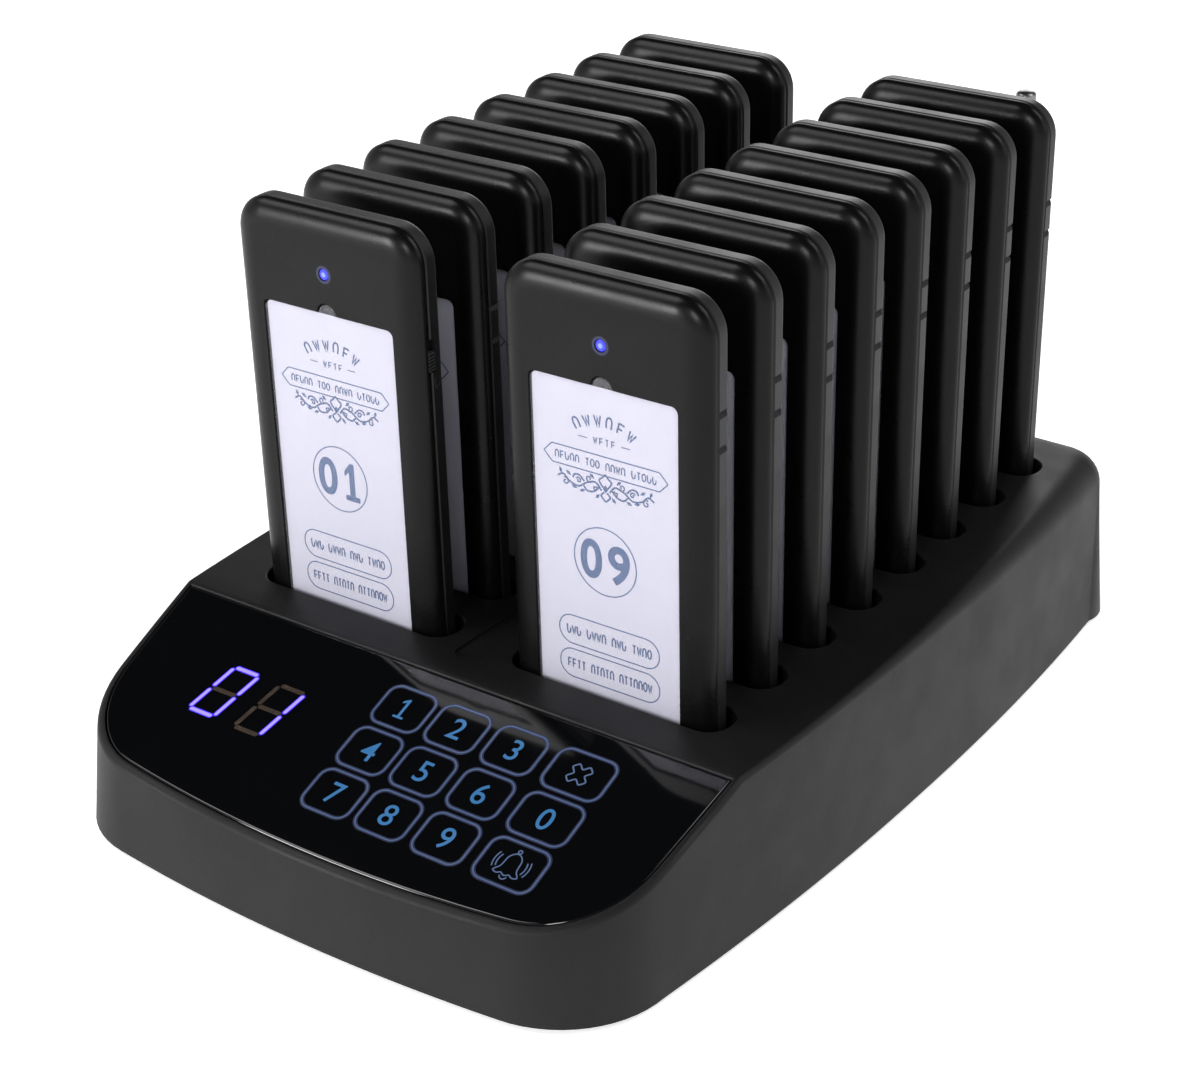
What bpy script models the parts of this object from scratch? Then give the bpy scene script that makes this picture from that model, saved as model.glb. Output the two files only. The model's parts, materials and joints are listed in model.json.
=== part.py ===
"""Guest paging set: a charging transmitter base that holds two columns of slim coaster pagers.

Metres, +Z up, front towards -Y. The origin is the centre of the footprint, on the supporting surface.
Three working frames are used:
  base frame   the world
  deck frame   on the gently sloping deck, at the front face of the first pager row
  panel frame  on the steeper front panel, at the crease between the deck and the panel
"""

import math

import bmesh
import bpy
from mathutils import Matrix, Vector

# ---------------------------------------------------------------- driving dimensions
GAP = 0.0003  # clearance between pieces that meet

# base plan, at the height of the deck edge
BASE_HALF_WIDTH = 0.0784
SIDE_MIDDLE_Y = 0.0032  # where the base is widest
SIDE_RADIUS, SIDE_REAR_RADIUS = 0.860, 0.960  # the side walls are bowed, less so behind the middle
FRONT_Y = -0.1173
FRONT_RADIUS = 0.430
FRONT_CORNER_RADIUS = 0.025
REAR_Y = 0.1142
REAR_RADIUS = 1.500
REAR_CORNER_RADIUS = 0.011
SIDE_DRAFT, FRONT_DRAFT, REAR_DRAFT = 0.0006, 0.0024, 0.0055  # how far the foot of a wall stands out

# base heights
SKIRT_Z = 0.0012
DECK_Z = 0.0402  # at the front face of the first row
DECK_SLOPE = math.radians(2.09)
ROW_Y = -0.0568  # front face of the first row
CREASE_Y = -0.0673
PANEL_SLOPE = math.radians(21.9)
WALL = 0.0024
PANEL_ALLOWANCE = 0.0048  # thickness of the housing under the panel, before the recess is cut
EDGE_ROUND_FRONT, EDGE_ROUND_REAR = 0.0013, 0.0085

# pagers
PAGER_WIDTH, PAGER_HEIGHT, PAGER_DEPTH = 0.0500, 0.1050, 0.0075
PAGER_CORNER = 0.0080
PAGER_FRONT_ROUND, PAGER_REAR_ROUND = 0.0032, 0.0012
PAGER_SEAM = 0.0036  # depth of the parting line behind the front face
PAGER_WALL = 0.0013
PAGER_SUNK = 0.0120  # length of the lower end inside its well
COLUMN_X = 0.0355
ROW_PITCH = 0.02024
ROWS = 8

# wells
MOUTH_WIDTH, MOUTH_DEPTH, MOUTH_HEIGHT = 0.0546, 0.0112, 0.0050
MOUTH_CORNER, SEAT_CORNER = 0.0052, 0.0030
MOUTH_LEAD = 0.0006  # the mouth starts this far in front of the pager's front face
SEAT_WIDTH, SEAT_DEPTH = 0.0512, 0.0086
WELL_FLOOR = PAGER_SUNK + GAP
WELL_WALL = 0.0016
CONTACT_OFFSET_X = 0.0080
CONTACT_SIZE = (0.0014, 0.0024)

# front panel
PANEL_RIM = 0.0018
PANEL_THICKNESS = 0.0020
PANEL_SUNK = 0.0001
WINDOW = (-0.0540, 0.0560, -0.0445, -0.0050)  # x from, x to, y from, y to in the panel frame
DISPLAY_CENTRE = (-0.0358, -0.0250)
DISPLAY_SIZE = (0.0270, 0.0200, 0.0062)
TOUCH_BOARD = (-0.0130, 0.0550, -0.0440, -0.0055, 0.0012)

# pager fittings, as distances below the top of the pager
LABEL_TOP, LABEL_LENGTH, LABEL_WIDTH = 0.0228, 0.0740, 0.0352
LABEL_RECESS = 0.0013
LIGHT_DROP, LIGHT_RADIUS = 0.0135, 0.0012
SWITCH_TOP, SWITCH_BOTTOM = 0.0239, 0.0314
SWITCH_TRAVEL = 0.0025

# inside a pager, across and up from the middle of its lower end
PAGER_BOARD = (-0.0210, 0.0210, 0.0060, 0.0980)
BATTERY = (-0.0160, 0.0160, 0.0140, 0.0560)
MOTOR_RADIUS, MOTOR_PLACE = 0.0045, (0.0080, 0, 0.0800)

# rear wall fittings
JACK_X, JACK_Z = -0.0400, 0.0180
JACK_SIZE = (0.0100, 0.0130, 0.0110)
JACK_PROUD = 0.0006
ROCKER_X, ROCKER_Z, ROCKER_PIVOT_DEPTH = -0.0100, 0.0190, 0.0036
ROCKER_HALF_HEIGHT, ROCKER_WIDTH, ROCKER_CLEARANCE = 0.0066, 0.0090, 0.0007
ROCKER_TILT = math.radians(8.0)

# antenna, upright behind the last pager of the right column
ANTENNA_X, ANTENNA_Y = 0.0462, 0.1012
KNUCKLE_RADIUS, KNUCKLE_SUNK = 0.0040, 0.0015
HINGE_ABOVE_DECK = 0.0065
TUBE_START = 0.0043  # above the hinge
ANTENNA_TOP = 0.1364
BUTTON_RADIUS, BUTTON_HEIGHT = 0.0024, 0.0032
OUTER_TUBE_RADII, MIDDLE_TUBE_RADII, ROD_RADIUS = (0.0025, 0.00195), (0.00165, 0.00125), 0.00095

# feet and screws
FOOT_RADIUS, FOOT_HEIGHT = 0.0060, 0.0017
FOOT_PLACES = [(0.052, -0.094), (-0.052, -0.094), (0.052, 0.094), (-0.052, 0.094)]
SCREW_PLACES = [(0.0640, -0.0800), (-0.0640, -0.0800), (0.0640, 0.1020), (-0.0640, 0.1020)]
SCREW_HEAD_RADIUS, SCREW_HEAD_HEIGHT = 0.0028, 0.0013
SCREW_SHANK_RADIUS, SCREW_LENGTH = 0.0014, 0.0095
BOSS_RADIUS = 0.0036
COVER_THICKNESS = 0.0026
STANDOFF_PLACES = [(0.045, -0.035), (-0.045, -0.035), (0.045, 0.040), (-0.045, 0.040)]
STANDOFF_RADIUS = 0.0025

# circuit boards and their components, each component a pair of opposite corners seen from above
BOARD_Z, BOARD_THICKNESS = 0.0080, 0.0016
MAIN_BOARD = (-0.0500, 0.0500, -0.0420, 0.0460)
MAIN_PARTS = [
    (-0.0300, -0.0120, -0.0300, -0.0120, 0.0030),
    (0.0050, 0.0170, -0.0200, -0.0080, 0.0014),
    (0.0200, 0.0400, 0.0100, 0.0300, 0.0050),
    (-0.0350, -0.0200, 0.0200, 0.0340, 0.0060),
]
TOUCH_PARTS = [(0.0020, 0.0120, -0.0300, -0.0200, 0.0018), (0.0300, 0.0450, -0.0400, -0.0340, 0.0038)]
CHARGE_BOARD = (-0.0600, 0.0600, -0.0040, ROW_PITCH * ROWS - 0.0060)
PART_SINK = 0.0002  # how far components and contacts run into their board

OVERSHOOT = 0.0100  # how far cutters run past the surfaces they cut


# ---------------------------------------------------------------- frames and surfaces
def deck_height(y):
    return DECK_Z + (y - ROW_Y) * math.tan(DECK_SLOPE)


CREASE_Z = deck_height(CREASE_Y)


def panel_height(y):
    return CREASE_Z - (CREASE_Y - y) * math.tan(PANEL_SLOPE)


def rear_frame(x, z):
    """Frame on the leaning rear wall: +Y straight out of it, +Z up along it."""
    wall_top = deck_height(REAR_Y) - EDGE_ROUND_REAR
    foot_share = (wall_top - z) / (wall_top - SKIRT_Z)
    bow = REAR_RADIUS - math.sqrt(REAR_RADIUS**2 - x**2)
    lean = math.atan(REAR_DRAFT / (wall_top - SKIRT_Z))
    place = Matrix.Translation((x, REAR_Y - bow + REAR_DRAFT * foot_share, z))
    return place @ Matrix.Rotation(lean, 4, "X")


DECK_FRAME = Matrix.Translation((0, ROW_Y, DECK_Z)) @ Matrix.Rotation(DECK_SLOPE, 4, "X")
PANEL_FRAME = Matrix.Translation((0, CREASE_Y, CREASE_Z)) @ Matrix.Rotation(PANEL_SLOPE, 4, "X")


# ---------------------------------------------------------------- plan outline of the base
def tangent_centre(first_centre, first_radius, second_centre, second_radius):
    """The point at these distances from two centres, on the side with the larger x."""
    a, b = Vector(first_centre), Vector(second_centre)
    between = b - a
    span = between.length
    along = (first_radius**2 - second_radius**2 + span**2) / (2 * span)
    aside = math.sqrt(first_radius**2 - along**2)
    direction = between / span
    across = Vector((-direction.y, direction.x)) * aside
    foot = a + direction * along
    return max(foot + across, foot - across, key=lambda point: point.x)


def plan_stations(front=4, corner=5, side=6, rear=3):
    """Arc stations (centre, radius, outward direction) once round the base, anticlockwise from the front."""
    side_centre = Vector((BASE_HALF_WIDTH - SIDE_RADIUS, SIDE_MIDDLE_Y))
    side_rear_centre = Vector((BASE_HALF_WIDTH - SIDE_REAR_RADIUS, SIDE_MIDDLE_Y))
    front_centre = Vector((0, FRONT_Y + FRONT_RADIUS))
    rear_centre = Vector((0, REAR_Y - REAR_RADIUS))
    inner_side, inner_front = SIDE_RADIUS - FRONT_CORNER_RADIUS, FRONT_RADIUS - FRONT_CORNER_RADIUS
    front_corner = tangent_centre(side_centre, inner_side, front_centre, inner_front)
    inner_side, inner_rear = SIDE_REAR_RADIUS - REAR_CORNER_RADIUS, REAR_RADIUS - REAR_CORNER_RADIUS
    rear_corner = tangent_centre(side_rear_centre, inner_side, rear_centre, inner_rear)

    def angle_from(centre, point):
        return math.atan2(point.y - centre.y, point.x - centre.x)

    front_end = angle_from(front_centre, front_corner)
    side_start = angle_from(side_centre, front_corner)
    crease = math.asin((CREASE_Y - SIDE_MIDDLE_Y) / SIDE_RADIUS)
    side_end = angle_from(side_rear_centre, rear_corner)
    rear_start = angle_from(rear_centre, rear_corner)
    straight_down, straight_up = -math.pi / 2, math.pi / 2
    arcs = [
        (front_centre, FRONT_RADIUS, straight_down, front_end, front),
        (front_corner, FRONT_CORNER_RADIUS, front_end, side_start, corner),
        (side_centre, SIDE_RADIUS, side_start, crease, 2),
        (side_centre, SIDE_RADIUS, crease, 0, side // 2),
        (side_rear_centre, SIDE_REAR_RADIUS, 0, side_end, side // 2),
        (rear_corner, REAR_CORNER_RADIUS, side_end, rear_start, corner),
        (rear_centre, REAR_RADIUS, rear_start, straight_up, rear),
    ]
    half = []
    for centre, radius, start, end, steps in arcs:
        for step in range(steps):
            angle = start + (end - start) * step / steps
            half.append((centre, radius, Vector((math.cos(angle), math.sin(angle)))))
    half.append((rear_centre, REAR_RADIUS, Vector((0, 1))))
    mirrored = []
    for centre, radius, out in half[-2:0:-1]:
        mirrored.append((Vector((-centre.x, centre.y)), radius, Vector((-out.x, out.y))))
    return half + mirrored


def draft_at(out):
    return SIDE_DRAFT * abs(out.x) + FRONT_DRAFT * max(-out.y, 0) + REAR_DRAFT * max(out.y, 0)


def edge_round_at(y):
    """The top edge is crisp round the panel and soft at the rear."""
    share = min(max((y - CREASE_Y) / (REAR_Y - CREASE_Y), 0), 1)
    return EDGE_ROUND_FRONT + (EDGE_ROUND_REAR - EDGE_ROUND_FRONT) * share**2


def side_x(y, offset):
    """Half width of the front of the base at y, on the outline moved out by offset."""
    return BASE_HALF_WIDTH - SIDE_RADIUS + math.sqrt((SIDE_RADIUS + offset) ** 2 - (y - SIDE_MIDDLE_Y) ** 2)


def panel_outline(offset, back_y):
    """The front of the plan outline moved out by offset, closed by a straight edge at back_y."""
    right = []
    for centre, radius, out in plan_stations(corner=7):
        point = centre + out * (radius + offset)
        if out.x >= 0 and point.y < back_y - 0.001:
            right.append((point.x, point.y))
    right.append((side_x(back_y, offset), back_y))
    left = [(-x, y) for x, y in right[:0:-1]]
    return right + left


# ---------------------------------------------------------------- mesh building
def material(name, colour, roughness, metallic=0.0, alpha=1.0):
    made = bpy.data.materials.new(name)
    made.use_nodes = True
    shader = made.node_tree.nodes["Principled BSDF"]
    shader.inputs["Base Color"].default_value = (*colour, 1)
    shader.inputs["Roughness"].default_value = roughness
    shader.inputs["Metallic"].default_value = metallic
    shader.inputs["Alpha"].default_value = alpha
    made.diffuse_color = (*colour, 1)
    return made


def add_object(name, mesh, paint=None, sharp_degrees=35):
    if paint:
        mesh.materials.append(paint)
    mesh.shade_smooth()
    mesh.set_sharp_from_angle(angle=math.radians(sharp_degrees))
    made = bpy.data.objects.new(name, mesh)
    bpy.context.scene.collection.objects.link(made)
    return made


def mesh_from(bm, name, frame=None):
    if frame:
        bmesh.ops.transform(bm, matrix=frame, verts=bm.verts)
    bmesh.ops.recalc_face_normals(bm, faces=bm.faces)
    mesh = bpy.data.meshes.new(name)
    bm.to_mesh(mesh)
    bm.free()
    return mesh


def loft(bm, rings, first_cap=True, last_cap=True):
    """Joins closed rings of equal length, and caps the first and last one. Returns the rings' vertices."""
    made = [[bm.verts.new(point) for point in ring] for ring in rings]
    count = len(made[0])
    for lower, upper in zip(made, made[1:]):
        for i in range(count):
            j = (i + 1) % count
            bm.faces.new((lower[i], lower[j], upper[j], upper[i]))
    if first_cap:
        bm.faces.new(made[0][::-1])
    if last_cap:
        bm.faces.new(made[-1])
    return made


def loft_mesh(name, rings, frame=None):
    bm = bmesh.new()
    loft(bm, rings)
    return mesh_from(bm, name, frame)


def rounded_rectangle(width, height, radius, steps):
    """Anticlockwise outline centred on the origin."""
    points = []
    for quarter, (sx, sy) in enumerate([(1, -1), (1, 1), (-1, 1), (-1, -1)]):
        centre = ((width / 2 - radius) * sx, (height / 2 - radius) * sy)
        for step in range(steps + 1):
            angle = math.pi / 2 * (quarter - 1 + step / steps)
            along, up = radius * math.cos(angle), radius * math.sin(angle)
            points.append((centre[0] + along, centre[1] + up))
    return points


def circle(radius, steps):
    turns = [2 * math.pi * i / steps for i in range(steps)]
    return [(radius * math.cos(turn), radius * math.sin(turn)) for turn in turns]


def add_prism(bm, outline, low, high, place=(0, 0)):
    """An upright prism on a plan outline."""
    rings = [[(x + place[0], y + place[1], z) for x, y in outline] for z in (low, high)]
    loft(bm, rings)


def add_box(bm, low, high):
    outline = [(low[0], low[1]), (high[0], low[1]), (high[0], high[1]), (low[0], high[1])]
    add_prism(bm, outline, low[2], high[2])


def turned(name, profile, steps, frame=None):
    """A solid turned round the Z axis from (radius, z) pairs, capped at both ends."""
    return loft_mesh(name, [[(x, y, z) for x, y in circle(radius, steps)] for radius, z in profile], frame)


def cutter(name, mesh):
    made = bpy.data.objects.new(name, mesh)
    bpy.context.scene.collection.objects.link(made)
    made.hide_render = True
    made.display_type = "WIRE"
    return made


def boolean(target, operand, operation="DIFFERENCE"):
    modifier = target.modifiers.new(operand.name, "BOOLEAN")
    modifier.operation = operation
    modifier.solver = "EXACT"
    modifier.object = operand


def baked(source):
    """The mesh of an object with its modifiers applied."""
    bpy.context.view_layer.update()
    return bpy.data.meshes.new_from_object(source.evaluated_get(bpy.context.evaluated_depsgraph_get()))


def boxes_cutter(name, boxes, frame=None):
    bm = bmesh.new()
    for low, high in boxes:
        add_box(bm, low, high)
    return cutter(name, mesh_from(bm, name, frame))


# ---------------------------------------------------------------- the base housing
def base_ring(stations, offset, height):
    """Points of the plan outline; offset and height take a station's direction and point."""
    ring = []
    for centre, radius, out in stations:
        edge = centre + out * radius
        point = centre + out * (radius + offset(out, edge))
        ring.append((point.x, point.y, height(point, edge)))
    return ring


def base_body(name, wall, rounds, bottom_z, deck_drop, panel_drop):
    """The outer shape of the base, or the same shape moved in by wall for its inside."""
    stations = plan_stations()

    def top(y):
        return min(deck_height(y) - deck_drop, panel_height(y) - panel_drop)

    def round_at(y):
        return max(edge_round_at(y) - wall, GAP)

    rings = [base_ring(stations, lambda out, edge: draft_at(out) - wall, lambda point, edge: bottom_z)]
    for step in range(rounds + 1):
        angle = math.pi / 2 * step / rounds

        def offset(out, edge, turn=angle):
            return -wall - round_at(edge.y) * (1 - math.cos(turn))

        def height(point, edge, turn=angle):
            return top(point.y) - round_at(edge.y) * (1 - math.sin(turn))

        rings.append(base_ring(stations, offset, height))
    bm = bmesh.new()
    made = loft(bm, rings, last_cap=False)
    rim = made[-1]
    crease_y = CREASE_Y
    if panel_drop != deck_drop:
        rise = (panel_drop - deck_drop) / (math.tan(PANEL_SLOPE) - math.tan(DECK_SLOPE))
        crease_y = CREASE_Y + rise
    middle = len(rim) // 2
    split = min(range(middle), key=lambda i: abs(rim[i].co.y - crease_y))
    other = len(rim) - split
    bm.faces.new(rim[split : other + 1])
    bm.faces.new(rim[other:] + rim[: split + 1])
    bmesh.ops.triangulate(bm, faces=[face for face in bm.faces if len(face.verts) > 4])
    return mesh_from(bm, name)


def well_places():
    return [(column * COLUMN_X, row * ROW_PITCH) for column in (-1, 1) for row in range(ROWS)]


def well_blocks():
    """The walls round the wells, as they hang from the deck inside the housing."""
    bm = bmesh.new()
    half = MOUTH_WIDTH / 2 + WELL_WALL
    for x, y in well_places():
        low = (x - half, y - MOUTH_LEAD - WELL_WALL, -WELL_FLOOR - WELL_WALL)
        high = (x + half, y + MOUTH_DEPTH + WELL_WALL, OVERSHOOT)
        add_box(bm, low, high)
    return cutter("well_blocks_guide", mesh_from(bm, "well_blocks_guide", DECK_FRAME))


def screw_bosses():
    bm = bmesh.new()
    for place in SCREW_PLACES:
        add_prism(bm, circle(BOSS_RADIUS, 10), SKIRT_Z + COVER_THICKNESS + GAP, DECK_Z + OVERSHOOT, place)
    return cutter("screw_bosses_guide", mesh_from(bm, "screw_bosses_guide"))


def well_cutters():
    """Flared mouths, the seats below them and the slots for the charging contacts."""
    mouth, seat = bmesh.new(), bmesh.new()
    mouth_outline = rounded_rectangle(MOUTH_WIDTH, MOUTH_DEPTH, MOUTH_CORNER, 4)
    seat_outline = rounded_rectangle(SEAT_WIDTH, SEAT_DEPTH, SEAT_CORNER, 2)
    for x, y in well_places():
        middle = (x, y - MOUTH_LEAD + MOUTH_DEPTH / 2)
        add_prism(mouth, mouth_outline, -MOUTH_HEIGHT, OVERSHOOT, middle)
        middle = (x, y - GAP + SEAT_DEPTH / 2)
        add_prism(seat, seat_outline, -WELL_FLOOR, -MOUTH_HEIGHT / 2, middle)
    cutters = [
        cutter("well_mouth_cutter", mesh_from(mouth, "well_mouth_cutter", DECK_FRAME)),
        cutter("well_seat_cutter", mesh_from(seat, "well_seat_cutter", DECK_FRAME)),
    ]
    slots = contact_boxes(GAP, -WELL_FLOOR - OVERSHOOT, -WELL_FLOOR + WELL_WALL)
    cutters.append(boxes_cutter("contact_slot_cutter", slots, DECK_FRAME))
    return cutters


def contact_boxes(clearance, low, high):
    """A box round each charging contact, in the deck frame: two contacts to a well."""
    half_x, half_y = CONTACT_SIZE[0] / 2 + clearance, CONTACT_SIZE[1] / 2 + clearance
    boxes = []
    for x, y in well_places():
        middle_y = y + PAGER_DEPTH / 2
        for middle_x in (x - CONTACT_OFFSET_X, x + CONTACT_OFFSET_X):
            boxes.append(
                ((middle_x - half_x, middle_y - half_y, low), (middle_x + half_x, middle_y + half_y, high))
            )
    return boxes


def panel_prism(name, offset, back_y, low, high):
    """A slab parallel to the front panel, between two heights measured square to it."""
    outline = panel_outline(offset, back_y)
    upright = 1 / math.cos(PANEL_SLOPE)
    rings = [[(x, y, panel_height(y) + level * upright) for x, y in outline] for level in (low, high)]
    return loft_mesh(name, rings)


def opening(half_width, half_height):
    """A box that cuts a rectangular hole through the rear wall."""
    return ((-half_width, -OVERSHOOT, -half_height), (half_width, OVERSHOOT, half_height))


def make_housing(paint):
    housing = add_object("top_housing", base_body("top_housing", 0, 3, SKIRT_Z, 0, 0), paint)
    inside = base_body("housing_inside", WALL, 1, SKIRT_Z - GAP, WALL, PANEL_ALLOWANCE)
    cavity = cutter("housing_inside_cutter", inside)
    boolean(cavity, well_blocks())
    boolean(cavity, screw_bosses())
    boolean(housing, cavity)
    for tool in well_cutters():
        boolean(housing, tool)
    recess_floor = -PANEL_SUNK - PANEL_THICKNESS - GAP
    recess = panel_prism("panel_recess", -PANEL_RIM, CREASE_Y - PANEL_RIM / 2, recess_floor, OVERSHOOT)
    boolean(housing, cutter("panel_recess_cutter", recess))
    x0, x1, y0, y1 = WINDOW
    window = ((x0, y0, -OVERSHOOT), (x1, y1, OVERSHOOT))
    boolean(housing, boxes_cutter("window_cutter", [window], PANEL_FRAME))
    jack_hole = opening(JACK_SIZE[0] / 2 + GAP, JACK_SIZE[2] / 2 + GAP)
    boolean(housing, boxes_cutter("jack_hole_cutter", [jack_hole], rear_frame(JACK_X, JACK_Z)))
    rocker_hole = opening(ROCKER_WIDTH / 2 + GAP, ROCKER_HALF_HEIGHT + ROCKER_CLEARANCE)
    boolean(housing, boxes_cutter("rocker_hole_cutter", [rocker_hole], rear_frame(ROCKER_X, ROCKER_Z)))
    round_holes = bmesh.new()
    for place in SCREW_PLACES:
        top = SKIRT_Z + SCREW_LENGTH + SCREW_HEAD_HEIGHT + 2 * GAP
        add_prism(round_holes, circle(SCREW_SHANK_RADIUS + GAP, 10), 0, top, place)
    antenna_deck = deck_height(ANTENNA_Y)
    socket, low = circle(KNUCKLE_RADIUS + GAP, 16), antenna_deck - KNUCKLE_SUNK - GAP
    add_prism(round_holes, socket, low, antenna_deck + OVERSHOOT, (ANTENNA_X, ANTENNA_Y))
    boolean(housing, cutter("round_hole_cutter", mesh_from(round_holes, "round_hole_cutter")))


def make_cover(paint):
    stations = plan_stations()
    top = SKIRT_Z + COVER_THICKNESS
    rings = []
    for level, inset in ((SKIRT_Z, WALL + GAP), (top, WALL + 2 * GAP)):

        def offset(out, edge, inward=inset):
            return draft_at(out) - inward

        def height(point, edge, z=level):
            return z

        rings.append(base_ring(stations, offset, height))
    cover = add_object("bottom_cover", loft_mesh("bottom_cover", rings), paint)
    posts = bmesh.new()
    for place in STANDOFF_PLACES:
        add_prism(posts, circle(STANDOFF_RADIUS, 8), top - COVER_THICKNESS / 2, BOARD_Z - GAP, place)
    boolean(cover, cutter("standoff_guide", mesh_from(posts, "standoff_guide")), "UNION")
    holes = bmesh.new()
    for place in FOOT_PLACES:
        add_prism(holes, circle(FOOT_RADIUS + GAP, 16), 0, FOOT_HEIGHT + GAP, place)
    for place in SCREW_PLACES:
        add_prism(holes, circle(SCREW_SHANK_RADIUS + GAP, 10), 0, top + OVERSHOOT, place)
    boolean(cover, cutter("cover_hole_cutter", mesh_from(holes, "cover_hole_cutter")))
    counterbores = bmesh.new()
    for place in SCREW_PLACES:
        seat = SKIRT_Z + SCREW_HEAD_HEIGHT + GAP
        add_prism(counterbores, circle(SCREW_HEAD_RADIUS + GAP, 10), 0, seat, place)
    boolean(cover, cutter("counterbore_cutter", mesh_from(counterbores, "counterbore_cutter")))


def make_feet(paint):
    edge = 0.0006
    profile = [(FOOT_RADIUS - edge, 0), (FOOT_RADIUS, edge), (FOOT_RADIUS, FOOT_HEIGHT)]
    mesh = turned("foot", profile, 16)
    for number, (x, y) in enumerate(FOOT_PLACES, 1):
        foot = add_object(f"rubber_foot_{number}", mesh, None if mesh.materials else paint)
        foot.location = (x, y, 0)


def make_screws(paint):
    head = SCREW_HEAD_HEIGHT
    profile = [(SCREW_HEAD_RADIUS, 0), (SCREW_HEAD_RADIUS, head), (SCREW_SHANK_RADIUS, head)]
    end, point = head + SCREW_LENGTH, 0.0010
    profile += [(SCREW_SHANK_RADIUS, end - point), (SCREW_SHANK_RADIUS / 2, end)]
    mesh = turned("screw", profile, 10)
    for number, (x, y) in enumerate(SCREW_PLACES, 1):
        screw = add_object(f"housing_screw_{number}", mesh, None if mesh.materials else paint)
        screw.location = (x, y, SKIRT_Z)


# ---------------------------------------------------------------- panel, display and boards
def make_panel(paint):
    back_y = CREASE_Y - PANEL_RIM / 2 - GAP
    low, high = -PANEL_SUNK - PANEL_THICKNESS, -PANEL_SUNK
    add_object("touch_panel", panel_prism("touch_panel", -PANEL_RIM - GAP, back_y, low, high), paint)


def make_board(name, paint, outline, top, thickness, parts, frame=None):
    """A board with its components joined on."""
    x0, x1, y0, y1 = outline
    bm = bmesh.new()
    add_box(bm, (x0, y0, top - thickness), (x1, y1, top))
    board = add_object(name, mesh_from(bm, name, frame), paint)
    boolean(board, boxes_cutter(name + "_parts_guide", parts, frame), "UNION")


def make_electronics(board_paint, module_paint):
    under_glass = -PANEL_SUNK - PANEL_THICKNESS - GAP
    x, y = DISPLAY_CENTRE
    width, height, depth = DISPLAY_SIZE
    bm = bmesh.new()
    low = (x - width / 2, y - height / 2, under_glass - depth)
    add_box(bm, low, (x + width / 2, y + height / 2, under_glass))
    add_object("display_module", mesh_from(bm, "display_module", PANEL_FRAME), module_paint)

    *outline, thickness = TOUCH_BOARD
    under = under_glass - thickness
    parts = [((x0, y0, under - drop), (x1, y1, under + PART_SINK)) for x0, x1, y0, y1, drop in TOUCH_PARTS]
    make_board("touch_board", board_paint, outline, under_glass, thickness, parts, PANEL_FRAME)

    top = BOARD_Z + BOARD_THICKNESS
    parts = [((x0, y0, top - PART_SINK), (x1, y1, top + rise)) for x0, x1, y0, y1, rise in MAIN_PARTS]
    make_board("main_board", board_paint, MAIN_BOARD, top, BOARD_THICKNESS, parts)

    top = -WELL_FLOOR - WELL_WALL - GAP
    contacts = contact_boxes(0, top - PART_SINK, -WELL_FLOOR)
    make_board("charge_board", board_paint, CHARGE_BOARD, top, BOARD_THICKNESS, contacts, DECK_FRAME)


# ---------------------------------------------------------------- rear wall fittings
def make_jack(paint):
    width, length, height = JACK_SIZE
    bm = bmesh.new()
    place = rear_frame(JACK_X, JACK_Z)
    add_box(bm, (-width / 2, JACK_PROUD - length, -height / 2), (width / 2, JACK_PROUD, height / 2))
    jack = add_object("dc_jack", mesh_from(bm, "dc_jack", place), paint)
    facing_back = place @ Matrix.Translation((0, JACK_PROUD, 0)) @ Matrix.Rotation(math.radians(-90), 4, "X")
    bore_radius, bore_length, pin_radius, pin_below = 0.0032, 0.0100, 0.0010, 0.0015
    profile = [(pin_radius, -pin_below), (pin_radius, -bore_length), (bore_radius, -bore_length)]
    profile += [(bore_radius, 0.002), (0.0005, 0.002), (0.0005, -pin_below + 0.0004)]
    rings = [[(x, y, z) for x, y in circle(radius, 14)] for radius, z in profile]
    bm = bmesh.new()
    made = loft(bm, rings, first_cap=False, last_cap=False)
    count = len(made[0])
    for i in range(count):
        j = (i + 1) % count
        bm.faces.new((made[-1][i], made[-1][j], made[0][j], made[0][i]))
    tool = mesh_from(bm, "jack_bore", facing_back)
    boolean(jack, cutter("jack_bore_cutter", tool))


def make_rocker(paint):
    """A see-saw rocker; its origin is on the hinge, and it rests with its lower half pressed in."""
    face = 0.0042
    half = ROCKER_HALF_HEIGHT
    dish = 0.0007
    outline = [(face + dish, half), (face, 0), (face + dish, -half), (0.0012, -half)]
    back = 0.0050
    for step in range(8):
        turn = math.radians(250 - 20 * step)
        outline.append((back * math.cos(turn), back * math.sin(turn)))
    outline.append((0.0012, half))
    width = ROCKER_WIDTH / 2
    rings = [[(x, y, z) for y, z in outline] for x in (-width, width)]
    rocker = add_object("power_switch", loft_mesh("power_switch", rings), paint)
    hinge = Matrix.Translation((0, -ROCKER_PIVOT_DEPTH, 0)) @ Matrix.Rotation(-ROCKER_TILT, 4, "X")
    rocker.matrix_world = rear_frame(ROCKER_X, ROCKER_Z) @ hinge


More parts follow.
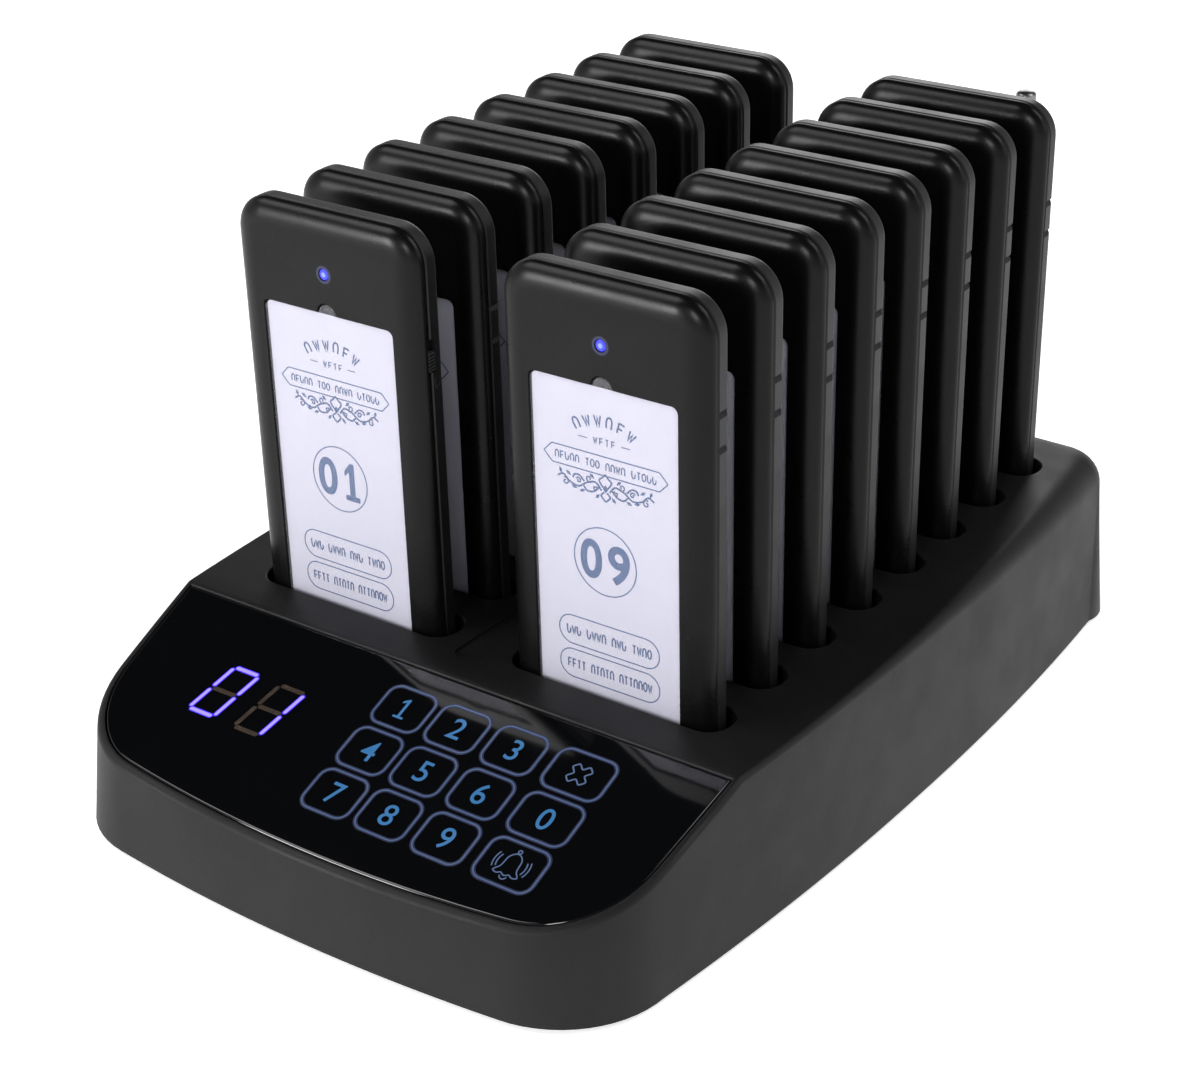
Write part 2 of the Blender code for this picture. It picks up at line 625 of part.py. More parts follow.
# ---------------------------------------------------------------- antenna
def make_antenna(paint):
    deck = deck_height(ANTENNA_Y)
    hinge_z = deck + HINGE_ABOVE_DECK
    slot_half, pin_radius, ear_radius = 0.0015, 0.0008, 0.0036
    swivel = Matrix.Translation((ANTENNA_X, ANTENNA_Y, hinge_z))

    bottom = -HINGE_ABOVE_DECK - KNUCKLE_SUNK
    profile = [(KNUCKLE_RADIUS, bottom), (KNUCKLE_RADIUS, 0.0008), (0.0034, ear_radius - 0.0003)]
    knuckle = add_object("antenna_knuckle", turned("antenna_knuckle", profile, 16), paint)
    knuckle.matrix_world = swivel
    floor = -0.0036
    slot_box = ((-slot_half, -OVERSHOOT, floor), (slot_half, OVERSHOOT, OVERSHOOT))
    slot = boxes_cutter("knuckle_slot_cutter", [slot_box])
    slot.matrix_world = swivel
    boolean(knuckle, slot)
    sideways = Matrix.Rotation(math.radians(90), 4, "Y")
    reach = slot_half + 0.0008
    pin_profile = [(pin_radius, -reach), (pin_radius, reach)]
    pin = cutter("knuckle_pin_guide", turned("pin", pin_profile, 10, sideways))
    pin.matrix_world = swivel
    boolean(knuckle, pin, "UNION")

    outer, inner = OUTER_TUBE_RADII
    tube_top = ANTENNA_TOP - BUTTON_HEIGHT - 3 * GAP - hinge_z
    chamfer, plug = 0.0004, 0.0020
    profile = [(outer - chamfer, TUBE_START), (outer, TUBE_START + chamfer), (outer, tube_top)]
    profile += [(inner, tube_top), (inner, TUBE_START + plug)]
    tube = add_object("antenna_outer_tube", turned("antenna_outer_tube", profile, 16), paint)
    tube.matrix_world = swivel
    tang_half, tang_radius = slot_half - GAP, 0.0024
    tang = []
    for step in range(9):
        turn = math.pi * (1 + step / 8)
        tang.append((tang_radius * math.cos(turn), tang_radius * math.sin(turn)))
    tang += [(0.0018, TUBE_START + 0.0008), (-0.0018, TUBE_START + 0.0008)]
    rings = [[(x, y, z) for y, z in tang] for x in (-tang_half, tang_half)]
    tang_guide = cutter("tang_guide", loft_mesh("tang_guide", rings))
    tang_guide.matrix_world = swivel
    boolean(tube, tang_guide, "UNION")
    reach = tang_half + 0.001
    bore_profile = [(pin_radius + GAP, -reach), (pin_radius + GAP, reach)]
    bore = cutter("tang_bore_cutter", turned("tang_bore", bore_profile, 10, sideways))
    bore.matrix_world = swivel
    boolean(tube, bore)

    outer, inner = MIDDLE_TUBE_RADII
    start, top = TUBE_START + plug + GAP, tube_top + GAP
    profile = [(outer, start), (outer, top), (inner, top), (inner, start + plug)]
    middle = add_object("antenna_middle_tube", turned("antenna_middle_tube", profile, 14), paint)
    middle.matrix_world = swivel

    start = start + plug + GAP
    top = ANTENNA_TOP - hinge_z
    under = top - BUTTON_HEIGHT
    profile = [(ROD_RADIUS, start), (ROD_RADIUS, under), (BUTTON_RADIUS, under)]
    profile += [(BUTTON_RADIUS, top - 0.0006), (BUTTON_RADIUS - 0.0006, top)]
    tip = add_object("antenna_tip", turned("antenna_tip", profile, 14), paint)
    tip.matrix_world = swivel


# ---------------------------------------------------------------- pagers
# Pager frame: origin at the middle of the lower end, on the front face; X across, Y back, Z up.
def pager_ring(inset, depth, steps=3):
    radius = max(PAGER_CORNER - inset, 0.0015)
    outline = rounded_rectangle(PAGER_WIDTH - 2 * inset, PAGER_HEIGHT - 2 * inset, radius, steps)
    return [(x, depth, z + PAGER_HEIGHT / 2) for x, z in outline]


def front_shell_mesh():
    soft = PAGER_FRONT_ROUND
    part_way = soft * (1 - math.sqrt(0.5))
    rim = PAGER_SEAM - GAP / 2
    levels = [(soft, 0), (part_way, part_way), (0, soft), (0, rim), (PAGER_WALL, rim)]
    levels.append((PAGER_WALL + 0.0006, 0.0022))
    return loft_mesh("pager_front_shell", [pager_ring(inset, depth) for inset, depth in levels])


def rear_shell_mesh():
    rim = PAGER_SEAM + GAP / 2
    back = PAGER_DEPTH
    levels = [(PAGER_REAR_ROUND, back), (0, back - PAGER_REAR_ROUND), (0, rim), (PAGER_WALL, rim)]
    levels.append((PAGER_WALL, back - 0.0011))
    return loft_mesh("pager_rear_shell", [pager_ring(inset, depth) for inset, depth in levels])


def label_box(clearance, front, back):
    half = LABEL_WIDTH / 2 + clearance
    high = PAGER_HEIGHT - LABEL_TOP + clearance
    low = PAGER_HEIGHT - LABEL_TOP - LABEL_LENGTH - clearance
    return ((-half, front, low), (half, back, high))


def with_label_recess(mesh, holes):
    """The front shell with its recess for the number card, and further openings where given."""
    shell = bpy.data.objects.new("shell_blank", mesh)
    bpy.context.scene.collection.objects.link(shell)
    tools = [boxes_cutter("label_recess_cutter", [label_box(GAP, -OVERSHOOT, LABEL_RECESS)])] + holes
    for tool in tools:
        boolean(shell, tool)
    made = baked(shell)
    bpy.data.objects.remove(shell)
    bpy.data.objects.remove(tools[0])
    return made


def switch_pocket():
    low = (PAGER_WIDTH / 2 - 0.0012, 0.0026, PAGER_HEIGHT - SWITCH_BOTTOM)
    high = (PAGER_WIDTH / 2 + OVERSHOOT, 0.0050, PAGER_HEIGHT - SWITCH_TOP)
    return boxes_cutter("switch_pocket_cutter", [(low, high)])


def light_hole():
    drop = Matrix.Translation((0, 0, PAGER_HEIGHT - LIGHT_DROP)) @ Matrix.Rotation(math.radians(-90), 4, "X")
    profile = [(LIGHT_RADIUS + GAP, -0.001), (LIGHT_RADIUS + GAP, 0.0045)]
    return cutter("light_hole_cutter", turned("light_hole", profile, 12, drop))


def make_pagers(shell_paint):
    plain_front = with_label_recess(front_shell_mesh(), [])
    pocket, hole = switch_pocket(), light_hole()
    first_front = with_label_recess(front_shell_mesh(), [pocket, hole])
    rear_blank = bpy.data.objects.new("rear_blank", rear_shell_mesh())
    bpy.context.scene.collection.objects.link(rear_blank)
    boolean(rear_blank, pocket)
    first_rear, plain_rear = baked(rear_blank), rear_shell_mesh()
    for helper in (rear_blank, pocket, hole):
        bpy.data.objects.remove(helper)
    for mesh in (plain_front, first_front, first_rear, plain_rear):
        mesh.materials.append(shell_paint)
    holders = []
    for number, (x, y) in enumerate(well_places(), 1):
        holder = bpy.data.objects.new(f"pager_{number:02d}_holder", None)
        bpy.context.scene.collection.objects.link(holder)
        holder.matrix_world = DECK_FRAME @ Matrix.Translation((x, y, -PAGER_SUNK))
        front = add_object(f"pager_{number:02d}_front_shell", first_front if number == 1 else plain_front)
        rear = add_object(f"pager_{number:02d}_rear_shell", first_rear if number == 1 else plain_rear)
        front.parent = rear.parent = holder
        holders.append(holder)
    return holders


def pager_box(name, low, high, paint, holder):
    bm = bmesh.new()
    add_box(bm, low, high)
    made = add_object(name, mesh_from(bm, name), paint)
    made.parent = holder
    return made


def make_pager_fittings(holder, paints):
    """The pieces of the first pager: number card, window, light, board, battery, motor and switch."""
    card_front, card_back = 0.00075, 0.00100
    pager_box("pager_01_label_card", *label_box(0, card_front, card_back), paints["card"], holder)
    pager_box("pager_01_clear_window", *label_box(0, 0.00005, 0.00045), paints["window"], holder)
    drop = Matrix.Translation((0, 0, PAGER_HEIGHT - LIGHT_DROP)) @ Matrix.Rotation(math.radians(-90), 4, "X")
    profile = [(LIGHT_RADIUS - 0.0003, 0.0001), (LIGHT_RADIUS, 0.0004), (LIGHT_RADIUS, 0.0022)]
    light = add_object("pager_01_light_pipe", turned("light_pipe", profile, 12, drop), paints["light"])
    light.parent = holder
    x0, x1, z0, z1 = PAGER_BOARD
    board_front, board_back = 0.0025, 0.0033
    pager_box("pager_01_board", (x0, board_front, z0), (x1, board_back, z1), paints["board"], holder)
    x0, x1, z0, z1 = BATTERY
    behind, deepest = board_back + GAP, 0.0061
    pager_box("pager_01_battery", (x0, behind, z0), (x1, deepest, z1), paints["battery"], holder)
    profile = [(MOTOR_RADIUS, behind), (MOTOR_RADIUS, deepest)]
    motor_mesh = turned("motor", profile, 14, Matrix.Rotation(math.radians(-90), 4, "X"))
    motor = add_object("pager_01_vibration_motor", motor_mesh, paints["motor"])
    motor.parent = holder
    motor.location = MOTOR_PLACE
    low = (PAGER_WIDTH / 2 - 0.0009, 0.0029, PAGER_HEIGHT - SWITCH_BOTTOM + GAP)
    high = (PAGER_WIDTH / 2 + 0.0003, 0.0047, PAGER_HEIGHT - SWITCH_TOP - GAP - SWITCH_TRAVEL)
    pager_box("pager_01_side_switch", low, high, paints["switch"], holder)


# ---------------------------------------------------------------- assembly
def main():
    for leftover in list(bpy.data.objects):
        bpy.data.objects.remove(leftover, do_unlink=True)
    charcoal = material("charcoal_plastic", (0.030, 0.030, 0.031), 0.50)
    black = material("black_plastic", (0.012, 0.012, 0.012), 0.42)
    board = material("circuit_board", (0.020, 0.110, 0.050), 0.45)
    steel = material("bright_steel", (0.62, 0.62, 0.62), 0.20, 1.0)
    chrome = material("chrome_plate", (0.75, 0.75, 0.76), 0.10, 1.0)
    make_housing(charcoal)
    make_cover(material("cover_plastic", (0.022, 0.022, 0.023), 0.55))
    make_feet(material("foot_rubber", (0.015, 0.015, 0.015), 0.80))
    make_screws(steel)
    make_panel(material("touch_glass", (0.004, 0.004, 0.005), 0.06))
    make_electronics(board, material("display_plastic", (0.020, 0.018, 0.022), 0.30))
    make_jack(material("jack_plastic", (0.012, 0.012, 0.012), 0.45))
    make_rocker(material("rocker_plastic", (0.015, 0.015, 0.015), 0.30))
    make_antenna(chrome)
    holders = make_pagers(black)
    fittings = {
        "card": material("number_card", (0.74, 0.73, 0.86), 0.55),
        "window": material("clear_plastic", (0.90, 0.90, 0.93), 0.05, alpha=0.30),
        "light": material("light_pipe", (0.25, 0.30, 0.95), 0.20),
        "board": board,
        "battery": material("battery_wrap", (0.45, 0.47, 0.50), 0.40, 0.3),
        "motor": steel,
        "switch": material("switch_plastic", (0.020, 0.020, 0.020), 0.40),
    }
    make_pager_fittings(holders[0], fittings)


main()
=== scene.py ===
"""Looks of the guest paging set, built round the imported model.

Metres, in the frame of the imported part: +Z up, front towards -Y, the base centred on the origin.
Deck frame: on the sloping deck, at the front face of the first row of pagers.
Panel frame: on the front panel, at the crease between the deck and the panel.
Pager frame: at the middle of a pager's lower end, on its front face; X across, Y back, Z up.
"""

import json
import math
import random

import bmesh
import bpy
from mathutils import Matrix, Vector

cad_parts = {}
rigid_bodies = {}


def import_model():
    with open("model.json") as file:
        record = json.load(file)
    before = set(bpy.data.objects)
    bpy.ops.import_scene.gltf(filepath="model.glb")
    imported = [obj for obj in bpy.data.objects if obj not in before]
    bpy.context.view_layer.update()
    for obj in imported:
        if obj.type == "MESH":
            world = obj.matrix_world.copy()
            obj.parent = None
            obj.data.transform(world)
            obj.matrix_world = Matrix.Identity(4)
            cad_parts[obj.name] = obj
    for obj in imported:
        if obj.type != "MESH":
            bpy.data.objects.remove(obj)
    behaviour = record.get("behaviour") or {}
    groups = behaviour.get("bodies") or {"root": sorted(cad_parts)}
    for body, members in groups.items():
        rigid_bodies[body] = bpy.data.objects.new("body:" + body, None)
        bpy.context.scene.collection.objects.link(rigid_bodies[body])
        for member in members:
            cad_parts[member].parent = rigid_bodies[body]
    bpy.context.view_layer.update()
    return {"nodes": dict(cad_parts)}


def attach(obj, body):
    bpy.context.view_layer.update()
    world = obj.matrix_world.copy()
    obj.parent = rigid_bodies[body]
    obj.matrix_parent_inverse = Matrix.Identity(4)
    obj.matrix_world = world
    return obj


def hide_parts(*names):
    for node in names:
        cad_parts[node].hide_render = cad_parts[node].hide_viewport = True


for leftover in list(bpy.data.objects):
    bpy.data.objects.remove(leftover, do_unlink=True)
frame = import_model()

MM = 0.001
GAP = 0.0003  # clearance between pieces that meet

# base plan and heights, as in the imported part
BASE_HALF_WIDTH = 0.0784
SIDE_MIDDLE_Y = 0.0032
SIDE_RADIUS, SIDE_REAR_RADIUS = 0.860, 0.960
FRONT_Y, FRONT_RADIUS, FRONT_CORNER_RADIUS = -0.1173, 0.430, 0.025
REAR_Y, REAR_RADIUS, REAR_CORNER_RADIUS = 0.1142, 1.500, 0.011
SIDE_DRAFT, FRONT_DRAFT, REAR_DRAFT = 0.0006, 0.0024, 0.0055
SKIRT_Z = 0.0012
DECK_Z = 0.0402
DECK_SLOPE = math.radians(2.09)
ROW_Y, CREASE_Y = -0.0568, -0.0673
PANEL_SLOPE = math.radians(21.9)
WALL, PANEL_ALLOWANCE = 0.0024, 0.0048
EDGE_ROUND_FRONT, EDGE_ROUND_REAR = 0.0013, 0.0085

# pagers and their wells
PAGER_WIDTH, PAGER_HEIGHT, PAGER_DEPTH = 0.0500, 0.1050, 0.0075
PAGER_CORNER, PAGER_FRONT_ROUND, PAGER_REAR_ROUND = 0.0080, 0.0030, 0.0012
PAGER_FRONT_REACH, SEAM_CHAMFER = 0.0056, 0.0003
PAGER_SEAM, PAGER_WALL, PAGER_SUNK = 0.0036, 0.0013, 0.0120
COLUMN_X, ROW_PITCH, ROWS = 0.0355, 0.02024, 8
MOUTH_WIDTH, MOUTH_DEPTH, MOUTH_HEIGHT = 0.0546, 0.0112, 0.0050
MOUTH_CORNER, SEAT_CORNER, MOUTH_LEAD, MOUTH_LIP = 0.0052, 0.0030, 0.0006, 0.0005
SEAT_WIDTH, SEAT_DEPTH = 0.0512, 0.0086
WELL_FLOOR, WELL_WALL = PAGER_SUNK + GAP, 0.0016
CONTACT_X, CONTACT_SIZE = 0.0080, (0.0014, 0.0024)
LABEL_TOP, LABEL_LENGTH, LABEL_WIDTH = 0.0228, 0.0740, 0.0352
LABEL_CORNER, LABEL_RECESS = 0.0012, 0.0013
CARD_FRONT, CARD_BACK = 0.00075, 0.00100
WINDOW_FRONT, WINDOW_BACK = 0.00005, 0.00045
TAB_RADIUS, TAB_STEPS = 0.0024, 14
LIGHT_DROP, LIGHT_RADIUS = 0.0135, 0.0012
SWITCH_TOP, SWITCH_BOTTOM, SWITCH_TRAVEL = 0.0239, 0.0314, 0.0025

# front panel
PANEL_RIM, PANEL_THICKNESS, PANEL_SUNK = 0.0018, 0.0020, 0.0001
WINDOW = (-0.0540, 0.0560, -0.0445, -0.0050)

# rear wall, antenna, feet and screws
JACK_X, JACK_Z, JACK_SIZE, JACK_PROUD = -0.0400, 0.0180, (0.0100, 0.0130, 0.0110), 0.0006
ROCKER_X, ROCKER_Z, ROCKER_PIVOT_DEPTH = -0.0100, 0.0190, 0.0036
ROCKER_HALF_HEIGHT, ROCKER_WIDTH, ROCKER_CLEARANCE = 0.0066, 0.0090, 0.0007
ROCKER_TILT = math.radians(8.0)
ANTENNA_X, ANTENNA_Y, ANTENNA_TOP = 0.0462, 0.1012, 0.1364
KNUCKLE_RADIUS, KNUCKLE_SUNK, HINGE_ABOVE_DECK = 0.0040, 0.0015, 0.0065
TUBE_START, BUTTON_RADIUS, BUTTON_HEIGHT = 0.0043, 0.0024, 0.0032
OUTER_TUBE, MIDDLE_TUBE, ROD_RADIUS = (0.0025, 0.00195), (0.00165, 0.00125), 0.00095
FOOT_RADIUS, FOOT_HEIGHT = 0.0060, 0.0017
FOOT_PLACES = [(0.052, -0.094), (-0.052, -0.094), (0.052, 0.094), (-0.052, 0.094)]
SCREW_PLACES = [(0.0640, -0.0800), (-0.0640, -0.0800), (0.0640, 0.1020), (-0.0640, 0.1020)]
SCREW_HEAD_RADIUS, SCREW_HEAD_HEIGHT = 0.0028, 0.0013
SCREW_SHANK_RADIUS, SCREW_LENGTH, BOSS_RADIUS = 0.0014, 0.0095, 0.0036
COVER_THICKNESS = 0.0026
OVERSHOOT = 0.0100


# ---------------------------------------------------------------- materials
COLOUR_INPUTS, COLOUR_OUTPUT = (6, 7), 2  # the colour sockets of a mix node
BUMP_DEPTH = 0.00012
EDGE_LOW, EDGE_HIGH = 0.51, 0.60  # pointiness where the paler edge, part wear and part painted highlight, starts and where it is full


def surface(
    name,
    colour,
    roughness,
    spread=0.06,
    mottle=0.12,
    mottle_scale=160,
    grain=0.2,
    grain_scale=2600,
    wear_and_sheen=0.0,
    **sockets,
):
    """A Principled material with mottled colour, uneven gloss, fine grain and paler edges, part wear and
    part painted highlight.
    """
    made = bpy.data.materials.new(name)
    made.use_nodes = True
    tree = made.node_tree
    shader = tree.nodes["Principled BSDF"]

    def new(kind, **values):
        one = tree.nodes.new(kind)
        for key, value in values.items():
            one.inputs[key.replace("_", " ")].default_value = value
        return one

    place = new("ShaderNodeTexCoord").outputs["Object"]

    def noise(scale, detail):
        one = new("ShaderNodeTexNoise", Scale=scale, Detail=detail)
        tree.links.new(place, one.inputs["Vector"])
        return one.outputs["Fac"]

    def remap(value, low, high, to_low, to_high):
        one = new("ShaderNodeMapRange", From_Min=low, From_Max=high, To_Min=to_low, To_Max=to_high)
        tree.links.new(value, one.inputs["Value"])
        return one.outputs["Result"]

    def mixed(share, first, second):
        one = new("ShaderNodeMix")
        one.data_type = "RGBA"
        tree.links.new(share, one.inputs["Factor"])
        for socket, value in zip(COLOUR_INPUTS, (first, second)):
            if isinstance(value, tuple):
                one.inputs[socket].default_value = (*value, 1)
            else:
                tree.links.new(value, one.inputs[socket])
        return one.outputs[COLOUR_OUTPUT]

    dark = tuple(c * (1 - mottle) for c in colour)
    light = tuple(min(c * (1 + mottle), 1) for c in colour)
    base = mixed(remap(noise(mottle_scale, 5), 0.3, 0.7, 0, 1), dark, light)
    # Pointiness pales the colour on edges: part wear, part a painted highlight along the rounded edges.
    if wear_and_sheen:
        worn_and_lit = tuple(min(c * 1.9 + 0.02, 1) for c in colour)
        pointiness = new("ShaderNodeNewGeometry").outputs["Pointiness"]
        edges = remap(pointiness, EDGE_LOW, EDGE_HIGH, 0, wear_and_sheen)
        base = mixed(edges, base, worn_and_lit)
    tree.links.new(base, shader.inputs["Base Color"])
    gloss = remap(noise(mottle_scale * 0.6, 6), 0.3, 0.7, roughness - spread, roughness + spread)
    tree.links.new(gloss, shader.inputs["Roughness"])
    if grain:
        bump = new("ShaderNodeBump", Strength=grain, Distance=BUMP_DEPTH)
        tree.links.new(noise(grain_scale, 2), bump.inputs["Height"])
        tree.links.new(bump.outputs["Normal"], shader.inputs["Normal"])
    for key, value in sockets.items():
        shader.inputs[key.replace("_", " ")].default_value = value
    return made


def glowing(name, colour, strength, base=(0.02, 0.02, 0.03)):
    return surface(name, base, 0.25, grain=0, Emission_Color=(*colour, 1), Emission_Strength=strength)


# The ninth argument of surface pales the edges by pointiness: part wear, part painted highlight.
CHARCOAL_GREY = (0.0064, 0.0064, 0.0066)
CHARCOAL = surface(
    "charcoal_plastic", CHARCOAL_GREY, 0.50, 0.05, 0.10, 120, 0.35, 2200, 0.30, Specular_IOR_Level=0.22
)
BLACK_GREY = (0.0019, 0.0019, 0.0020)
BLACK = surface(
    "black_plastic", BLACK_GREY, 0.29, 0.04, 0.15, 150, 0.12, 3000, 0.30, Specular_IOR_Level=0.17
)
BACK_GREY = (0.0070, 0.0070, 0.0072)
BACK = surface("back_plastic", BACK_GREY, 0.42, 0.05, 0.15, 150, 0.20, 2800, Specular_IOR_Level=0.30)
COVER = surface("cover_plastic", (0.022, 0.022, 0.023), 0.55, 0.06, 0.12, 120, 0.40, 2000, 0.25)
RUBBER = surface("foot_rubber", (0.014, 0.014, 0.014), 0.80, 0.08, 0.20, 400, 0.50, 2500)
STEEL = surface("bright_steel", (0.60, 0.60, 0.60), 0.22, 0.08, 0.08, 500, 0.10, 3000, Metallic=1.0)
GLASS = surface("touch_glass", (0.0022, 0.0024, 0.0030), 0.045, 0.02, 0.10, 40, 0, 1, IOR=1.5)
DISPLAY = surface("display_plastic", (0.020, 0.018, 0.022), 0.30, 0.05, 0.15, 300, 0.1, 2000)
BOARD = surface("circuit_board", (0.020, 0.110, 0.050), 0.42, 0.10, 0.30, 700, 0.3, 1800)
JACK = surface("jack_plastic", (0.012, 0.012, 0.012), 0.42, 0.06, 0.15, 300, 0.2, 2600, 0.3)
ROCKER = surface("rocker_plastic", (0.014, 0.014, 0.014), 0.28, 0.05, 0.15, 300, 0.1, 2600, 0.3)
CHROME = surface("chrome_plate", (0.20, 0.20, 0.205), 0.30, 0.06, 0.08, 300, 0.04, 1500, Metallic=1.0)
DARK_STEEL = surface("dark_steel", (0.11, 0.11, 0.115), 0.35, 0.08, 0.12, 500, 0.1, 3000, Metallic=1.0)
GOLD = surface("contact_gold", (0.78, 0.55, 0.22), 0.25, 0.08, 0.12, 600, 0.1, 3000, Metallic=1.0)
CARD = surface("number_card", (0.510, 0.500, 0.595), 0.50, 0.08, 0.025, 500, 0.12, 4000)
INK = surface("card_ink", (0.018, 0.062, 0.185), 0.50, 0.08, 0.10, 900, 0.1, 4000)
CLEAR = surface("clear_plastic", (0.80, 0.80, 0.86), 0.08, 0.04, 0.03, 200, 0, 1, Alpha=0.06)
BATTERY = surface("battery_wrap", (0.45, 0.47, 0.50), 0.40, 0.08, 0.08, 300, 0.2, 1500, Metallic=0.3)
SWITCH = surface("switch_plastic", (0.016, 0.016, 0.016), 0.25, 0.06, 0.15, 400, 0.1, 2600, 0.4)
MARK = surface("pad_print", (0.55, 0.55, 0.56), 0.50, 0.08, 0.10, 900, 0.1, 4000)
UNLIT = surface("segment_unlit", (0.042, 0.030, 0.022), 0.25, 0.08, 0.15, 500, 0, 1)
SEGMENT_EDGE = glowing("segment_edge", (0.030, 0.010, 1.0), 1.3)
SEGMENT_CORE = glowing("segment_core", (0.36, 0.27, 1.0), 1.35)
KEY_LINE = glowing("key_line", (0.10, 0.17, 0.33), 0.75)
# Painted glow: a faint blue spill of light on the glass round each lit key outline.
KEY_HALO = glowing("key_halo", (0.004, 0.010, 0.040), 1.0)
KEY_MARK = glowing("key_mark", (0.030, 0.190, 0.45), 0.85)
LIGHT = glowing("light_pipe", (0.020, 0.030, 0.80), 1.6, (0.02, 0.02, 0.20))
LIGHT_CORE = glowing("light_core", (0.10, 0.14, 1.0), 2.6, (0.05, 0.06, 0.40))
# Painted glow: the spill of the pager's light on the shell round its lens.
LIGHT_HALO = glowing("light_halo", (0.004, 0.008, 0.060), 1.0, (0.003, 0.003, 0.006))


# ---------------------------------------------------------------- frames of the part
def deck_height(y):
    return DECK_Z + (y - ROW_Y) * math.tan(DECK_SLOPE)


CREASE_Z = deck_height(CREASE_Y)


def panel_height(y):
    return CREASE_Z - (CREASE_Y - y) * math.tan(PANEL_SLOPE)


def rear_frame(x, z):
    """Frame on the leaning rear wall: +Y straight out of it, +Z up along it."""
    wall_top = deck_height(REAR_Y) - EDGE_ROUND_REAR
    foot_share = (wall_top - z) / (wall_top - SKIRT_Z)
    bow = REAR_RADIUS - math.sqrt(REAR_RADIUS**2 - x**2)
    lean = math.atan(REAR_DRAFT / (wall_top - SKIRT_Z))
    place = Matrix.Translation((x, REAR_Y - bow + REAR_DRAFT * foot_share, z))
    return place @ Matrix.Rotation(lean, 4, "X")


DECK_FRAME = Matrix.Translation((0, ROW_Y, DECK_Z)) @ Matrix.Rotation(DECK_SLOPE, 4, "X")
PANEL_FRAME = Matrix.Translation((0, CREASE_Y, CREASE_Z)) @ Matrix.Rotation(PANEL_SLOPE, 4, "X")
HINGE_Z = deck_height(ANTENNA_Y) + HINGE_ABOVE_DECK
UPRIGHT = Matrix.Rotation(math.radians(90), 4, "X")  # turns a flat drawing to face the front


# ---------------------------------------------------------------- plan outline of the base
def tangent_centre(first_centre, first_radius, second_centre, second_radius):
    """The point at these distances from two centres, on the side with the larger x."""
    a, b = Vector(first_centre), Vector(second_centre)
    between = b - a
    span = between.length
    along = (first_radius**2 - second_radius**2 + span**2) / (2 * span)
    aside = math.sqrt(first_radius**2 - along**2)
    direction = between / span
    across = Vector((-direction.y, direction.x)) * aside
    foot = a + direction * along
    return max(foot + across, foot - across, key=lambda point: point.x)


def plan_stations(front=18, corner=14, side=24, rear=14):
    """(centre, radius, outward direction) once round the base, anticlockwise from the front."""
    side_centre = Vector((BASE_HALF_WIDTH - SIDE_RADIUS, SIDE_MIDDLE_Y))
    side_rear_centre = Vector((BASE_HALF_WIDTH - SIDE_REAR_RADIUS, SIDE_MIDDLE_Y))
    front_centre = Vector((0, FRONT_Y + FRONT_RADIUS))
    rear_centre = Vector((0, REAR_Y - REAR_RADIUS))
    inner_side, inner_front = SIDE_RADIUS - FRONT_CORNER_RADIUS, FRONT_RADIUS - FRONT_CORNER_RADIUS
    front_corner = tangent_centre(side_centre, inner_side, front_centre, inner_front)
    inner_side, inner_rear = SIDE_REAR_RADIUS - REAR_CORNER_RADIUS, REAR_RADIUS - REAR_CORNER_RADIUS
    rear_corner = tangent_centre(side_rear_centre, inner_side, rear_centre, inner_rear)

    def angle_from(centre, point):
        return math.atan2(point.y - centre.y, point.x - centre.x)

    front_end = angle_from(front_centre, front_corner)
    side_start = angle_from(side_centre, front_corner)
    crease = math.asin((CREASE_Y - SIDE_MIDDLE_Y) / SIDE_RADIUS)
    side_end = angle_from(side_rear_centre, rear_corner)
    rear_start = angle_from(rear_centre, rear_corner)
    arcs = [
        (front_centre, FRONT_RADIUS, -math.pi / 2, front_end, front),
        (front_corner, FRONT_CORNER_RADIUS, front_end, side_start, corner),
        (side_centre, SIDE_RADIUS, side_start, crease, side // 3),
        (side_centre, SIDE_RADIUS, crease, 0, side // 2),
        (side_rear_centre, SIDE_REAR_RADIUS, 0, side_end, side // 2),
        (rear_corner, REAR_CORNER_RADIUS, side_end, rear_start, corner),
        (rear_centre, REAR_RADIUS, rear_start, math.pi / 2, rear),
    ]
    half = []
    for centre, radius, start, end, steps in arcs:
        for step in range(steps):
            angle = start + (end - start) * step / steps
            half.append((centre, radius, Vector((math.cos(angle), math.sin(angle)))))
    half.append((rear_centre, REAR_RADIUS, Vector((0, 1))))
    mirrored = []
    for centre, radius, out in half[-2:0:-1]:
        mirrored.append((Vector((-centre.x, centre.y)), radius, Vector((-out.x, out.y))))
    return half + mirrored


def draft_at(out):
    return SIDE_DRAFT * abs(out.x) + FRONT_DRAFT * max(-out.y, 0) + REAR_DRAFT * max(out.y, 0)


def edge_round_at(y):
    """The top edge is crisp round the panel and soft at the rear."""
    share = min(max((y - CREASE_Y) / (REAR_Y - CREASE_Y), 0), 1)
    return EDGE_ROUND_FRONT + (EDGE_ROUND_REAR - EDGE_ROUND_FRONT) * share**2


def side_x(y, offset):
    reach = math.sqrt((SIDE_RADIUS + offset) ** 2 - (y - SIDE_MIDDLE_Y) ** 2)
    return BASE_HALF_WIDTH - SIDE_RADIUS + reach


def panel_outline(offset, back_y):
    """The front of the plan outline moved out by offset, closed by a straight edge at back_y."""
    right = []
    for centre, radius, out in plan_stations():
        edge = centre + out * radius
        if out.x >= 0 and edge.y < CREASE_Y - 0.003:
            point = centre + out * (radius + offset)
            right.append((point.x, point.y))
    right.append((side_x(back_y, offset), back_y))
    left = [(-x, y) for x, y in right[:0:-1]]
    return right + left


# ---------------------------------------------------------------- mesh building
def loft(bm, rings, first_cap=True, last_cap=True):
    """Joins closed rings of equal length, and caps the first and last one."""
    made = [[bm.verts.new(point) for point in ring] for ring in rings]
    count = len(made[0])
    for lower, upper in zip(made, made[1:]):
        for i in range(count):
            j = (i + 1) % count
            bm.faces.new((lower[i], lower[j], upper[j], upper[i]))
    if first_cap:
        bm.faces.new(made[0][::-1])
    if last_cap:
        bm.faces.new(made[-1])
    return made


